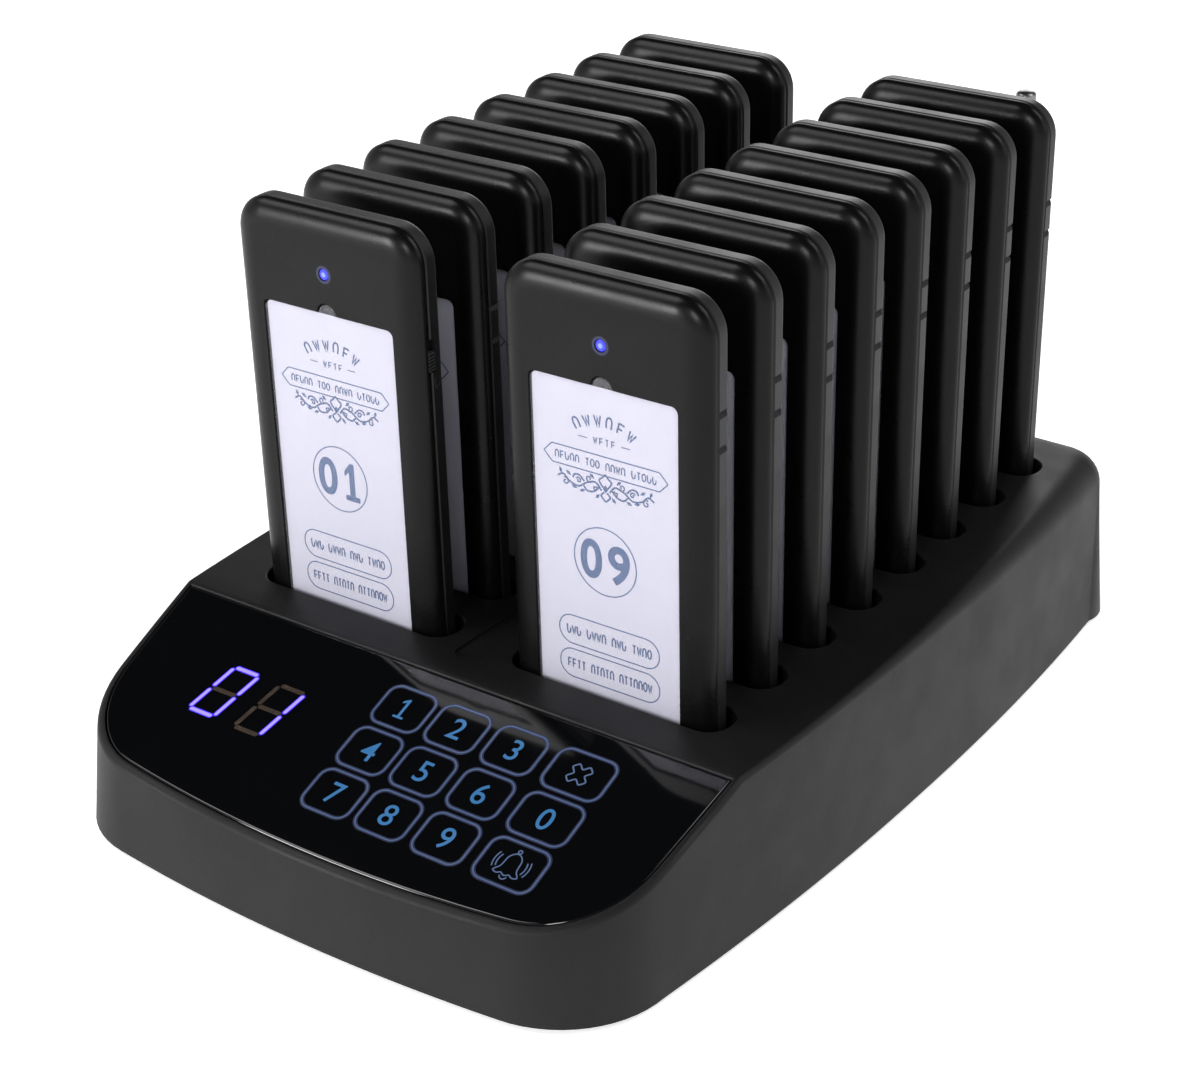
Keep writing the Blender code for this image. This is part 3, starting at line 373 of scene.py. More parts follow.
def mesh_from(bm, name, place=None):
    if place:
        bmesh.ops.transform(bm, matrix=place, verts=bm.verts)
    bmesh.ops.recalc_face_normals(bm, faces=bm.faces)
    mesh = bpy.data.meshes.new(name)
    bm.to_mesh(mesh)
    bm.free()
    return mesh


def loft_mesh(name, rings, place=None):
    bm = bmesh.new()
    loft(bm, rings)
    return mesh_from(bm, name, place)


def rounded_rectangle(width, height, radius, steps, centre=(0, 0)):
    """Anticlockwise outline."""
    points = []
    for quarter, (sx, sy) in enumerate([(1, -1), (1, 1), (-1, 1), (-1, -1)]):
        middle = (centre[0] + (width / 2 - radius) * sx, centre[1] + (height / 2 - radius) * sy)
        for step in range(steps + 1):
            angle = math.pi / 2 * (quarter - 1 + step / steps)
            points.append((middle[0] + radius * math.cos(angle), middle[1] + radius * math.sin(angle)))
    return points


def circle(radius, steps, centre=(0, 0)):
    turns = [2 * math.pi * i / steps for i in range(steps)]
    return [(centre[0] + radius * math.cos(t), centre[1] + radius * math.sin(t)) for t in turns]


def add_prism(bm, outline, low, high, place=(0, 0)):
    loft(bm, [[(x + place[0], y + place[1], z) for x, y in outline] for z in (low, high)])


def add_box(bm, low, high):
    outline = [(low[0], low[1]), (high[0], low[1]), (high[0], high[1]), (low[0], high[1])]
    add_prism(bm, outline, low[2], high[2])


def turned(name, profile, steps=48, place=None):
    """A solid turned round the Z axis from (radius, z) pairs."""
    rings = [[(x, y, z) for x, y in circle(radius, steps)] for radius, z in profile]
    return loft_mesh(name, rings, place)


def rounded_profile(radius, low, high, edge, steps=5):
    """Profile of a round bar with both rims rounded off."""
    turns = [math.pi / 2 * step / steps for step in range(steps + 1)]
    start = [(radius - edge + edge * math.sin(t), low + edge - edge * math.cos(t)) for t in turns]
    end = [(radius - edge + edge * math.cos(t), high - edge + edge * math.sin(t)) for t in turns]
    return start + end


def helper(name, mesh, place=None):
    made = bpy.data.objects.new(name, mesh)
    bpy.context.scene.collection.objects.link(made)
    made.hide_render = True
    if place:
        made.matrix_world = place
    return made


def carve(mesh, cuts=(), joins=()):
    """The mesh with other meshes cut from it or joined to it."""
    blank = helper("blank", mesh)
    tools = []
    for operation, others in (("UNION", joins), ("DIFFERENCE", cuts)):
        for other in others:
            tool = helper("tool", other)
            modifier = blank.modifiers.new("carve", "BOOLEAN")
            modifier.operation = operation
            modifier.solver = "EXACT"
            modifier.object = tool
            tools.append(tool)
    bpy.context.view_layer.update()
    graph = bpy.context.evaluated_depsgraph_get()
    made = bpy.data.meshes.new_from_object(blank.evaluated_get(graph))
    made.name = mesh.name
    for one in [blank] + tools:
        bpy.data.objects.remove(one)
    return made


def piece(name, mesh, paint, body, slot, nodes=(), place=None, sharp=35, weighted=True):
    """Adds a visible piece that rides on a body and may stand for CAD nodes."""
    if not mesh.materials:
        mesh.materials.append(paint)
        mesh.shade_smooth()
        mesh.set_sharp_from_angle(angle=math.radians(sharp))
    made = bpy.data.objects.new(name, mesh)
    bpy.context.scene.collection.objects.link(made)
    if place:
        made.matrix_world = place
    if weighted:
        modifier = made.modifiers.new("flat_faces", "WEIGHTED_NORMAL")
        modifier.keep_sharp = True
        modifier.weight = 80
    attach(made, body)
    if nodes:
        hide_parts(*nodes)
    return made


# ---------------------------------------------------------------- flat drawing, raised by a hair
def ribbon(bm, points, width, low, high, closed=False):
    """A stroke along points, as a thin closed strip between two heights."""
    points = [Vector(point) for point in points]
    count = len(points)
    sections = []
    for i, point in enumerate(points):
        before = points[i - 1] if closed or i else point
        after = points[(i + 1) % count] if closed or i < count - 1 else point
        first, second = (point - before), (after - point)
        first = first.normalized() if first.length else second.normalized()
        second = second.normalized() if second.length else first
        along = (first + second).normalized()
        across = Vector((-along.y, along.x))
        stretch = min(1 / max(across.dot(Vector((-first.y, first.x))), 0.3), 2.5)
        side = across * width / 2 * stretch
        left, right = point + side, point - side
        sections.append([(*left, low), (*right, low), (*right, high), (*left, high)])
    made = [[bm.verts.new(corner) for corner in section] for section in sections]
    pairs = list(zip(made, made[1:]))
    if closed:
        pairs.append((made[-1], made[0]))
    for one, two in pairs:
        for i in range(4):
            j = (i + 1) % 4
            bm.faces.new((one[i], one[j], two[j], two[i]))
    if not closed:
        bm.faces.new(made[0][::-1])
        bm.faces.new(made[-1])


def arc(centre, radius, start, end, steps=12, squash=1.0):
    turns = [math.radians(start + (end - start) * i / steps) for i in range(steps + 1)]
    return [(centre[0] + radius * math.cos(t), centre[1] + radius * squash * math.sin(t)) for t in turns]


def smooth_line(points, closed=False, steps=6):
    """A Catmull-Rom curve through the points."""
    points = [Vector(point) for point in points]
    count = len(points)
    spans = count if closed else count - 1
    line = []
    for i in range(spans):
        a = points[i - 1] if closed or i else points[i]
        b, c = points[i], points[(i + 1) % count]
        d = points[(i + 2) % count] if closed or i + 2 < count else c
        for step in range(steps):
            t = step / steps
            square, cube = 2 * a - 5 * b + 4 * c - d, 3 * b - a - 3 * c + d
            line.append(0.5 * (2 * b + (c - a) * t + square * t * t + cube * t**3))
    if not closed:
        line.append(points[-1])
    return line


def rounded_corners(points, radius, steps=4):
    """A closed outline with each corner replaced by a small curve."""
    made = []
    for i, corner in enumerate(points):
        here, before = Vector(corner), Vector(points[i - 1])
        after = Vector(points[(i + 1) % len(points)])
        start = here + (before - here).normalized() * radius
        end = here + (after - here).normalized() * radius
        for step in range(steps + 1):
            t = step / steps
            made.append(start * (1 - t) ** 2 + here * 2 * t * (1 - t) + end * t * t)
    return made


def add_text(bm, words, centre, width, height, bold, low, high):
    """Digits fitted to a box, from the built-in font."""
    curve = bpy.data.curves.new("digits", "FONT")
    curve.body = words
    curve.size = 1
    curve.offset = bold
    curve.resolution_u = 6
    curve.extrude = 0.5
    holder = helper("digits", curve)
    bpy.context.view_layer.update()
    mesh = bpy.data.meshes.new_from_object(holder.evaluated_get(bpy.context.evaluated_depsgraph_get()))
    xs = [v.co.x for v in mesh.vertices]
    ys = [v.co.y for v in mesh.vertices]
    middle = ((min(xs) + max(xs)) / 2, (min(ys) + max(ys)) / 2)
    span = (max(xs) - min(xs), max(ys) - min(ys))
    tall = height / span[1]
    wide = tall if width is None else width / span[0]
    to_size = Matrix.Diagonal((wide, tall, high - low, 1))
    shift = Matrix.Translation((*centre, (low + high) / 2))
    mesh.transform(shift @ to_size @ Matrix.Translation((-middle[0], -middle[1], 0)))
    bm.from_mesh(mesh)
    bpy.data.objects.remove(holder)
    bpy.data.curves.remove(curve)
    bpy.data.meshes.remove(mesh)


def add_one(bm, centre, width, height, thick, low, high):
    """A figure 1 with a flag and a foot, which the built-in font lacks."""
    w, h, t = width / 2, height / 2, thick / 2
    points = [(-w, -h), (w, -h), (w, -h + thick * 0.85), (t, -h + thick * 0.85), (t, h), (-t * 0.5, h)]
    points += [(-w, h - thick * 1.35), (-w, h - thick * 2.25), (-t, h - thick * 1.45)]
    points += [(-t, -h + thick * 0.85), (-w, -h + thick * 0.85)]
    add_prism(bm, points, low, high, centre)


def add_number(bm, number, centre, low, high):
    """Two bold figures, each fitted to its own cell."""
    width, height, thick, pitch = 0.0054, 0.0091, 0.0015, 0.0069
    for place, figure in enumerate(f"{number:02d}"):
        middle = (centre[0] + (place - 0.5) * pitch, centre[1])
        if figure == "1":
            add_one(bm, middle, width * 0.74, height, thick, low, high)
        else:
            add_text(bm, figure, middle, width, height, 0.024, low, high)


def add_scribble(bm, start, end, height, words, low, high, bend=None, seed=1):
    """Meaningless marks between two points: words gives word lengths, bend the radius of an arc."""
    order = random.Random(seed)
    start, end = Vector(start), Vector(end)
    length = (end - start).length
    slots = sum(words) + len(words) - 1
    thick, half = height * 0.17, height / 2
    wide = min(half * 0.62, length / slots * 0.36)

    def at(s, t):
        """A point s along the line and t above it."""
        if bend is None:
            return start + (end - start).normalized() * s + Vector((0, t))
        turn = (s - length / 2) / bend
        middle = (start + end) / 2 - Vector((0, bend * math.cos(length / 2 / bend)))
        return middle + Vector((math.sin(turn), math.cos(turn))) * (bend + t)

    def stroke(s, line, closed=False):
        ribbon(bm, [at(s + x * wide, y * half) for x, y in line], thick, low, high, closed)

    gaps, passed = set(), -1
    for word in words[:-1]:
        passed += word + 1
        gaps.add(passed)
    for number in range(slots):
        if number in gaps:
            continue
        s = (number + 0.5) * length / slots
        kind = order.choice(["ring", "arch", "bars", "hook", "wave", "stem"])
        if kind == "ring":
            stroke(s, circle(1, 12), closed=True)
        elif kind == "arch":
            top = arc((0, 0.1), 0.9, 170, 10, 6)
            stroke(s, [(-0.9, -1), (-0.9, 0.1)] + top + [(0.9, 0.1), (0.9, -1)])
        elif kind == "bars":
            stroke(s, [(-0.8, -1), (-0.8, 1)])
            stroke(s, [(-0.8, 0.9), (0.9, 0.9)])
            stroke(s, [(-0.8, -0.1), (0.6, -0.1)])
        elif kind == "hook":
            stroke(s, [(-0.9, 1), (-0.9, -0.2)] + arc((0, -0.2), 0.85, 190, 350, 6) + [(0.9, 0.2)])
        elif kind == "wave":
            stroke(s, [(-1.0, 0.9), (-0.45, -0.9), (0.0, 0.5), (0.45, -0.9), (1.0, 0.9)])
        else:
            stroke(s, [(0, -1), (0, 1)])
            stroke(s, [(-0.8, 0.9), (0.8, 0.9)])


# ---------------------------------------------------------------- the base housing
def base_ring(stations, offset, height):
    ring = []
    for centre, radius, out in stations:
        point = centre + out * (radius + offset(out))
        ring.append((point.x, point.y, height(point)))
    return ring


def base_body(name, wall, rounds, bottom_z, deck_drop, panel_drop):
    """The outer shape of the base, or the same shape moved in by wall for its inside."""
    stations = plan_stations()

    def top(y):
        return min(deck_height(y) - deck_drop, panel_height(y) - panel_drop)

    def round_at(y):
        return max(edge_round_at(y) - wall, GAP)

    def foot_offset(out):
        return draft_at(out) - wall

    rings = [base_ring(stations, foot_offset, lambda point: bottom_z)]
    for step in range(rounds + 1):
        angle = math.pi / 2 * step / rounds
        ring = []
        for centre, radius, out in stations:
            soft = round_at((centre + out * radius).y)
            point = centre + out * (radius - wall - soft * (1 - math.cos(angle)))
            ring.append((point.x, point.y, top(point.y) - soft * (1 - math.sin(angle))))
        rings.append(ring)
    bm = bmesh.new()
    rim = loft(bm, rings, last_cap=False)[-1]
    crease_y = CREASE_Y
    if panel_drop != deck_drop:
        crease_y += (panel_drop - deck_drop) / (math.tan(PANEL_SLOPE) - math.tan(DECK_SLOPE))
    middle = len(rim) // 2
    split = min(range(middle), key=lambda i: abs(rim[i].co.y - crease_y))
    other = len(rim) - split
    bm.faces.new(rim[split : other + 1])
    bm.faces.new(rim[other:] + rim[: split + 1])
    bmesh.ops.triangulate(bm, faces=[face for face in bm.faces if len(face.verts) > 4])
    return mesh_from(bm, name)


def well_places():
    return [(column * COLUMN_X, row * ROW_PITCH) for column in (-1, 1) for row in range(ROWS)]


def well_blocks():
    bm = bmesh.new()
    half = MOUTH_WIDTH / 2 + WELL_WALL
    for x, y in well_places():
        low = (x - half, y - MOUTH_LEAD - WELL_WALL, -WELL_FLOOR - WELL_WALL)
        add_box(bm, low, (x + half, y + MOUTH_DEPTH + WELL_WALL, OVERSHOOT))
    return mesh_from(bm, "well_blocks", DECK_FRAME)


def screw_bosses():
    bm = bmesh.new()
    for spot in SCREW_PLACES:
        add_prism(bm, circle(BOSS_RADIUS, 24), SKIRT_Z + COVER_THICKNESS + GAP, DECK_Z + OVERSHOOT, spot)
    return mesh_from(bm, "screw_bosses")


LIP_RISE = 0.00002  # lips end this far above the surface they cut, so that no faces coincide


def lip_levels(depth, lip, steps=4):
    """(outset, height) pairs of a cutter that leaves a rounded lip round an opening."""
    levels = [(0, -depth)]
    for step in range(steps + 1):
        turn = math.pi / 2 * step / steps
        levels.append((lip * (1 - math.cos(turn)), LIP_RISE - lip * (1 - math.sin(turn))))
    return levels + [(lip, OVERSHOOT)]


def well_cutter():
    """The wells: a seat for the pager's end, a ledge, and a wider mouth with a rounded lip."""
    bm = bmesh.new()
    for x, y in well_places():
        middle = (x, y - GAP + SEAT_DEPTH / 2)
        seat = rounded_rectangle(SEAT_WIDTH, SEAT_DEPTH, SEAT_CORNER, 8, middle)
        rings = [[(*point, level) for point in seat] for level in (-WELL_FLOOR, -MOUTH_HEIGHT)]
        middle = (x, y - MOUTH_LEAD + MOUTH_DEPTH / 2)
        for outset, level in lip_levels(MOUTH_HEIGHT, MOUTH_LIP):
            size = (MOUTH_WIDTH + 2 * outset, MOUTH_DEPTH + 2 * outset, MOUTH_CORNER + outset)
            rings.append([(*point, level) for point in rounded_rectangle(*size, 8, middle)])
        loft(bm, rings)
    return mesh_from(bm, "wells", DECK_FRAME)


def contact_spots():
    return [(x + side * CONTACT_X, y + PAGER_DEPTH / 2) for x, y in well_places() for side in (-1, 1)]


def contact_slot_cutter():
    bm = bmesh.new()
    width, depth = CONTACT_SIZE[0] + 2 * GAP, CONTACT_SIZE[1] + 2 * GAP
    for spot in contact_spots():
        outline = rounded_rectangle(width, depth, 0.0005, 3, spot)
        add_prism(bm, outline, -WELL_FLOOR - OVERSHOOT, -WELL_FLOOR + WELL_WALL)
    return mesh_from(bm, "contact_slots", DECK_FRAME)


def deck_channel_cutter():
    """The shallow channel that runs along the deck between the two columns."""
    half, depth, lip, start, end = 0.0034, 0.0004, 0.0002, -0.0042, 0.1560
    rings = []
    for outset, level in lip_levels(depth, lip, 3):
        size = (2 * (half + outset), end - start + 2 * outset, 0.0026 + outset)
        outline = rounded_rectangle(*size, 8, (0, (start + end) / 2))
        rings.append([(*point, level) for point in outline])
    return loft_mesh("channel", rings, DECK_FRAME)


def panel_rings(offsets, back_y):
    """Rings parallel to the front panel, one for each (offset, height square to the panel)."""
    upright = 1 / math.cos(PANEL_SLOPE)
    rings = []
    for offset, level in offsets:
        outline = panel_outline(offset, back_y + (offset - offsets[0][0]))
        rings.append([(x, y, panel_height(y) + level * upright) for x, y in outline])
    return rings


def panel_recess_cutter():
    floor = -PANEL_SUNK - PANEL_THICKNESS - GAP
    lip = 0.00035
    offsets = [(-PANEL_RIM + outset, level) for outset, level in lip_levels(-floor, lip, 3)]
    return loft_mesh("panel_recess", panel_rings(offsets, CREASE_Y - PANEL_RIM / 2))


def opening(x, z, half_width, half_height):
    bm = bmesh.new()
    add_box(bm, (-half_width, -OVERSHOOT, -half_height), (half_width, OVERSHOOT, half_height))
    return mesh_from(bm, "opening", rear_frame(x, z))


def make_housing():
    blocks, bosses = well_blocks(), screw_bosses()
    cavity = base_body("inside", WALL, 2, SKIRT_Z - GAP, WALL, PANEL_ALLOWANCE)
    cavity = carve(carve(cavity, cuts=[blocks]), cuts=[bosses])
    x0, x1, y0, y1 = WINDOW
    window = bmesh.new()
    add_box(window, (x0, y0, -OVERSHOOT), (x1, y1, OVERSHOOT))
    round_holes = bmesh.new()
    for spot in SCREW_PLACES:
        top = SKIRT_Z + SCREW_LENGTH + SCREW_HEAD_HEIGHT + 2 * GAP
        add_prism(round_holes, circle(SCREW_SHANK_RADIUS + GAP, 20), 0, top, spot)
    deck = deck_height(ANTENNA_Y)
    socket = circle(KNUCKLE_RADIUS + GAP, 40)
    add_prism(round_holes, socket, deck - KNUCKLE_SUNK - GAP, deck + OVERSHOOT, (ANTENNA_X, ANTENNA_Y))
    cuts = [panel_recess_cutter(), deck_channel_cutter(), well_cutter()]
    cuts += [mesh_from(round_holes, "round_holes"), cavity, contact_slot_cutter()]
    cuts += [mesh_from(window, "window", PANEL_FRAME)]
    cuts += [opening(JACK_X, JACK_Z, JACK_SIZE[0] / 2 + GAP, JACK_SIZE[2] / 2 + GAP)]
    cuts += [opening(ROCKER_X, ROCKER_Z, ROCKER_WIDTH / 2 + GAP, ROCKER_HALF_HEIGHT + ROCKER_CLEARANCE)]
    shell = carve(base_body("base_housing", 0, 10, SKIRT_Z, 0, 0), cuts=cuts)
    piece("base_housing", shell, CHARCOAL, "base", "charcoal_plastic", ["top_housing"], sharp=30)


# ---------------------------------------------------------------- front panel
def make_panel():
    back_y = CREASE_Y - PANEL_RIM / 2 - GAP
    edge = 0.00045
    low, high = -PANEL_SUNK - PANEL_THICKNESS, -PANEL_SUNK
    outer = -PANEL_RIM - GAP
    offsets = [(outer, low)]
    for step in range(5):
        turn = math.pi / 2 * step / 4
        offsets.append((outer - edge * (1 - math.cos(turn)), high - edge * (1 - math.sin(turn))))
    panel = loft_mesh("touch_panel_glass", panel_rings(offsets, back_y))
    piece("touch_panel_glass", panel, GLASS, "base", "touch_glass", ["touch_panel"], sharp=40)


PRINT_LOW, PRINT_STEP = -PANEL_SUNK - 0.00001, 0.00002
KEY_COLUMNS, KEY_ROWS = (-0.0019, 0.0125, 0.0274, 0.0438), (-0.0123, -0.0247, -0.0370)
KEY_FACES = ("123X", "4560", "789B")


def panel_piece(name, bm, paint, slot="touch_glass"):
    piece(name, mesh_from(bm, name, PANEL_FRAME), paint, "base", slot, weighted=False)


def key_outlines():
    for row, y in enumerate(KEY_ROWS):
        for column, x in enumerate(KEY_COLUMNS):
            width = 0.0142 if column == 3 else 0.0124
            yield rounded_rectangle(width, 0.0106, 0.0027, 7, (x, y)), KEY_FACES[row][column], (x, y)


def cross_outline(centre, reach, half, turn=45):
    plus = [(half, half), (half, reach), (-half, reach), (-half, half), (-reach, half), (-reach, -half)]
    plus += [(-x, -y) for x, y in plus]
    c, s = math.cos(math.radians(turn)), math.sin(math.radians(turn))
    corners = [(centre[0] + x * c - y * s, centre[1] + x * s + y * c) for x, y in plus]
    return rounded_corners(corners, half * 0.55)


def add_bell(bm, centre, width, low, high):
    """A plain outlined hand bell with two ringing arcs on each side."""

    def at(points):
        return [(centre[0] + x * MM, centre[1] + y * MM) for x, y in points]

    half = [(0.0, 2.75), (0.95, 2.35), (1.65, 1.35), (1.80, 0.0), (2.05, -1.15), (2.95, -2.35)]
    wave = [(1.9, -2.75), (1.0, -2.35), (0.0, -2.80)]
    right = half + wave
    left = [(-x, y) for x, y in right[-2:0:-1]]
    ribbon(bm, smooth_line(at(right + left), True, 4), width, low, high, closed=True)
    ribbon(bm, at(circle(0.42, 12, (0, 3.30))), width, low, high, closed=True)
    ribbon(bm, at(arc((0, -2.85), 0.85, 190, 350, 8)), width, low, high)
    for radius in (3.35, 4.15):
        for middle in (0, 180):
            ribbon(bm, at(arc((0, 0.1), radius, middle - 26, middle + 26, 8)), width, low, high)


def make_keys():
    low = PRINT_LOW + PRINT_STEP
    lines, halo, marks = bmesh.new(), bmesh.new(), bmesh.new()
    for outline, face, centre in key_outlines():
        # painted glow on the glass round the lit outline
        ribbon(halo, outline, 0.00100, PRINT_LOW, low, closed=True)
        ribbon(lines, outline, 0.00027, low, low + 2 * PRINT_STEP, closed=True)
        top = low + 2 * PRINT_STEP
        if face == "X":
            ribbon(lines, cross_outline(centre, 0.0027, 0.00085), 0.00034, low, top, closed=True)
        elif face == "B":
            add_bell(lines, centre, 0.00027, low, top)
        elif face == "1":
            add_one(marks, centre, 0.0026, 0.0053, 0.00062, low, top)
        else:
            add_text(marks, face, centre, None, 0.0053, 0.004, low, top)
    panel_piece("key_halos", halo, KEY_HALO)
    panel_piece("key_outlines", lines, KEY_LINE)
    panel_piece("key_digits", marks, KEY_MARK)


# each segment's side, height and whether it lies flat
SEGMENTS = {"a": (0, 1, True), "g": (0, 0, True), "d": (0, -1, True)}
SEGMENTS.update({"b": (1, 0.5, False), "c": (1, -0.5, False)})
SEGMENTS.update({"f": (-1, 0.5, False), "e": (-1, -0.5, False)})
DIGIT_PLACES = {(-0.04375, -0.0241): "abcdef", (-0.0303, -0.0243): "bc"}
DIGIT_WIDTH, DIGIT_HEIGHT, SEGMENT_THICK = 0.0085, 0.0148, 0.00130
DIGIT_SLANT = math.tan(math.radians(10.3))


def segment_outline(centre, key, shrink):
    """A bar of a seven-segment digit with clipped ends, leaning to the right."""
    across, up, flat = SEGMENTS[key]
    half_w, half_h = (DIGIT_WIDTH - SEGMENT_THICK) / 2, (DIGIT_HEIGHT - SEGMENT_THICK) / 2
    middle = (across * half_w, up * half_h)
    reach = (half_w if flat else half_h / 2) - 0.00024 - shrink
    thick = SEGMENT_THICK / 2 - shrink
    blunt, end = thick * 0.35, reach - thick * 0.65
    bar = [(reach, -blunt), (reach, blunt), (end, thick), (-end, thick)]
    bar += [(-reach, blunt), (-reach, -blunt), (-end, -thick), (end, -thick)]
    points = []
    for s, t in bar:
        x, y = (middle[0] + s, middle[1] + t) if flat else (middle[0] - t, middle[1] + s)
        points.append((centre[0] + x + y * DIGIT_SLANT, centre[1] + y))
    return points


def make_digits():
    unlit, edges, cores = bmesh.new(), bmesh.new(), bmesh.new()
    for centre, lit in DIGIT_PLACES.items():
        for key in SEGMENTS:
            if key in lit:
                add_prism(edges, segment_outline(centre, key, 0), PRINT_LOW, PRINT_LOW + 2 * PRINT_STEP)
                core = rounded_corners(segment_outline(centre, key, 0.00024), 0.00012)
                add_prism(cores, core, PRINT_LOW, PRINT_LOW + 4 * PRINT_STEP)
            else:
                add_prism(unlit, segment_outline(centre, key, 0.0001), PRINT_LOW, PRINT_LOW + PRINT_STEP)
    panel_piece("segments_unlit", unlit, UNLIT, "display_plastic")
    panel_piece("segments_glow", edges, SEGMENT_EDGE, "display_plastic")
    panel_piece("segments_lit", cores, SEGMENT_CORE, "display_plastic")


# ---------------------------------------------------------------- pagers
REAR_SCREWS = [(-0.0200, 0.0950), (0.0200, 0.0950), (-0.0200, 0.0100), (0.0200, 0.0100)]
SCREW_HEAD_LEVELS = [(0.0014, -0.0071), (0.0014, -0.0073), (0.0012, -0.00745)]
SCREW_HEAD_LEVELS += [(0.0006, -0.00745), (0.0003, -0.0072)]


def pager_ring(inset, depth, steps=10):
    radius = max(PAGER_CORNER - inset, 0.0015)
    outline = rounded_rectangle(PAGER_WIDTH - 2 * inset, PAGER_HEIGHT - 2 * inset, radius, steps)
    return [(x, depth, z + PAGER_HEIGHT / 2) for x, z in outline]


def edge_levels(reach, soft, face, inwards, steps=8):
    """(inset, depth) pairs round a soft edge, from the side to the face; reach is its width there."""
    turns = [math.pi / 2 * step / steps for step in range(steps + 1)]
    return [(reach * (1 - math.cos(t)), face + inwards * soft * (1 - math.sin(t))) for t in turns]


def label_outline(grow):
    """The card recess, with a half-round thumb notch at the middle of its upper end."""
    half_length = LABEL_LENGTH / 2
    size = (LABEL_WIDTH + 2 * grow, LABEL_LENGTH + 2 * grow, LABEL_CORNER + grow)
    steps = 5
    points = rounded_rectangle(*size, steps)
    start = math.asin(grow / (TAB_RADIUS + grow)) if grow else 0.02
    radius = TAB_RADIUS + grow
    tab = []
    for step in range(TAB_STEPS + 1):
        turn = start + (math.pi - 2 * start) * step / TAB_STEPS
        tab.append((radius * math.cos(turn), half_length + radius * math.sin(turn)))
    upper = 2 * (steps + 1)
    return points[:upper] + tab + points[upper:]


def label_prism(name, levels, outline=label_outline):
    """A loft in the label's place; each level is (outset, depth behind the front face)."""
    middle = PAGER_HEIGHT - LABEL_TOP - LABEL_LENGTH / 2
    rings = [[(x, depth, middle + z) for x, z in outline(grow)] for grow, depth in levels]
    return loft_mesh(name, rings)


def facing(drop):
    """Frame on a pager's front face, on its centre line, with Z pointing into the pager."""
    return Matrix.Translation((0, 0, PAGER_HEIGHT - drop)) @ Matrix.Rotation(math.radians(-90), 4, "X")


def switch_pocket():
    """The pocket in the first pager's right side that its slide runs in."""
    bm = bmesh.new()
    outline = rounded_rectangle(0.0024, SWITCH_BOTTOM - SWITCH_TOP, 0.0005, 4)
    add_prism(bm, outline, 0, OVERSHOOT)
    return mesh_from(bm, "pocket", side_place(0.0038, (SWITCH_TOP + SWITCH_BOTTOM) / 2, 0.0012))


def side_place(y, drop, sunk=0.0):
    """Frame on a pager's right side: X towards the back, Y up, Z out of the side."""
    turn = Matrix.Rotation(math.radians(90), 4, "Y") @ Matrix.Rotation(math.radians(90), 4, "Z")
    return Matrix.Translation((PAGER_WIDTH / 2 - sunk, y, PAGER_HEIGHT - drop)) @ turn


def side_nicks():
    """V grooves across the side behind the seam, at both ends of a closed switch cover."""
    bm = bmesh.new()
    side, deep, half = PAGER_WIDTH / 2, 0.0007, 0.0008
    for drop in (SWITCH_TOP, SWITCH_BOTTOM):
        z = PAGER_HEIGHT - drop
        rings = []
        for y in (PAGER_SEAM + GAP, PAGER_DEPTH + OVERSHOOT):
            mouth = [(side + deep, y, z - 2 * half), (side + deep, y, z + 2 * half)]
            rings.append(mouth + [(side - deep, y, z)])
        loft(bm, rings)
    return mesh_from(bm, "side_nicks")


def side_arrow():
    """The small raised triangle below the first pager's slide."""
    bm = bmesh.new()
    corners = [(-0.0008, 0.0006), (-0.0008, -0.0018), (0.0010, -0.0006)]
    ribbon(bm, rounded_corners(corners, 0.0002), 0.0002, -0.0001, 0.00008, closed=True)
    return mesh_from(bm, "side_arrow", side_place(0.0054, SWITCH_BOTTOM + 0.0020))


def front_shell(first):
    rim = PAGER_SEAM - GAP / 2
    edge = SEAM_CHAMFER
    levels = [(PAGER_WALL + 0.0006, 0.0022), (PAGER_WALL, rim)]
    levels += [(edge, rim), (0, rim - edge)]
    levels += edge_levels(PAGER_FRONT_REACH, PAGER_FRONT_ROUND, 0, 1, 14)
    shell = loft_mesh("front_shell", [pager_ring(inset, depth) for inset, depth in levels])
    lip = 0.0002
    recess = [(GAP, LABEL_RECESS), (GAP, lip), (GAP + lip * 0.3, lip * 0.4)]
    recess += [(GAP + lip, -LIP_RISE), (GAP + lip, -0.002)]
    rim, fit = LIGHT_RADIUS + 0.0002, LIGHT_RADIUS + 0.0001
    profile = [(rim, -0.001), (rim, -LIP_RISE), (fit, 0.0002), (fit, 0.0045)]
    cuts = [label_prism("recess", recess), turned("light_hole", profile, 32, facing(LIGHT_DROP))]
    return carve(shell, cuts=cuts + ([switch_pocket()] if first else []))


def rear_shell(first):
    rim = PAGER_SEAM + GAP / 2
    edge = SEAM_CHAMFER
    levels = [(PAGER_WALL, PAGER_DEPTH - 0.0011), (PAGER_WALL, rim), (edge, rim), (0, rim + edge)]
    levels += edge_levels(PAGER_REAR_ROUND, PAGER_REAR_ROUND, PAGER_DEPTH, -1, 6)
    shell = loft_mesh("rear_shell", [pager_ring(inset, depth) for inset, depth in levels])
    details = bmesh.new()
    outside, groove = -PAGER_DEPTH - 0.001, -PAGER_DEPTH + 0.0004
    door = rounded_rectangle(0.0340, 0.0480, 0.0030, 6, (0, 0.0400))
    ribbon(details, door, 0.0004, outside, groove, closed=True)
    thumb = arc((0, 0.0590), 0.0045, 0, 180, 12, 0.5)
    ribbon(details, thumb, 0.0006, outside, groove)
    for number in range(5):
        y = 0.0780 + 0.0024 * number
        sound_slot = rounded_rectangle(0.0120, 0.0009, 0.00044, 4, (0, y))
        add_prism(details, sound_slot, outside, -PAGER_DEPTH + 0.0006)
    for spot in REAR_SCREWS:
        add_prism(details, circle(0.0016, 20, spot), outside, -PAGER_DEPTH + 0.0007)
    side_cut = switch_pocket() if first else side_nicks()
    return carve(shell, cuts=[mesh_from(details, "rear_details", UPRIGHT), side_cut])


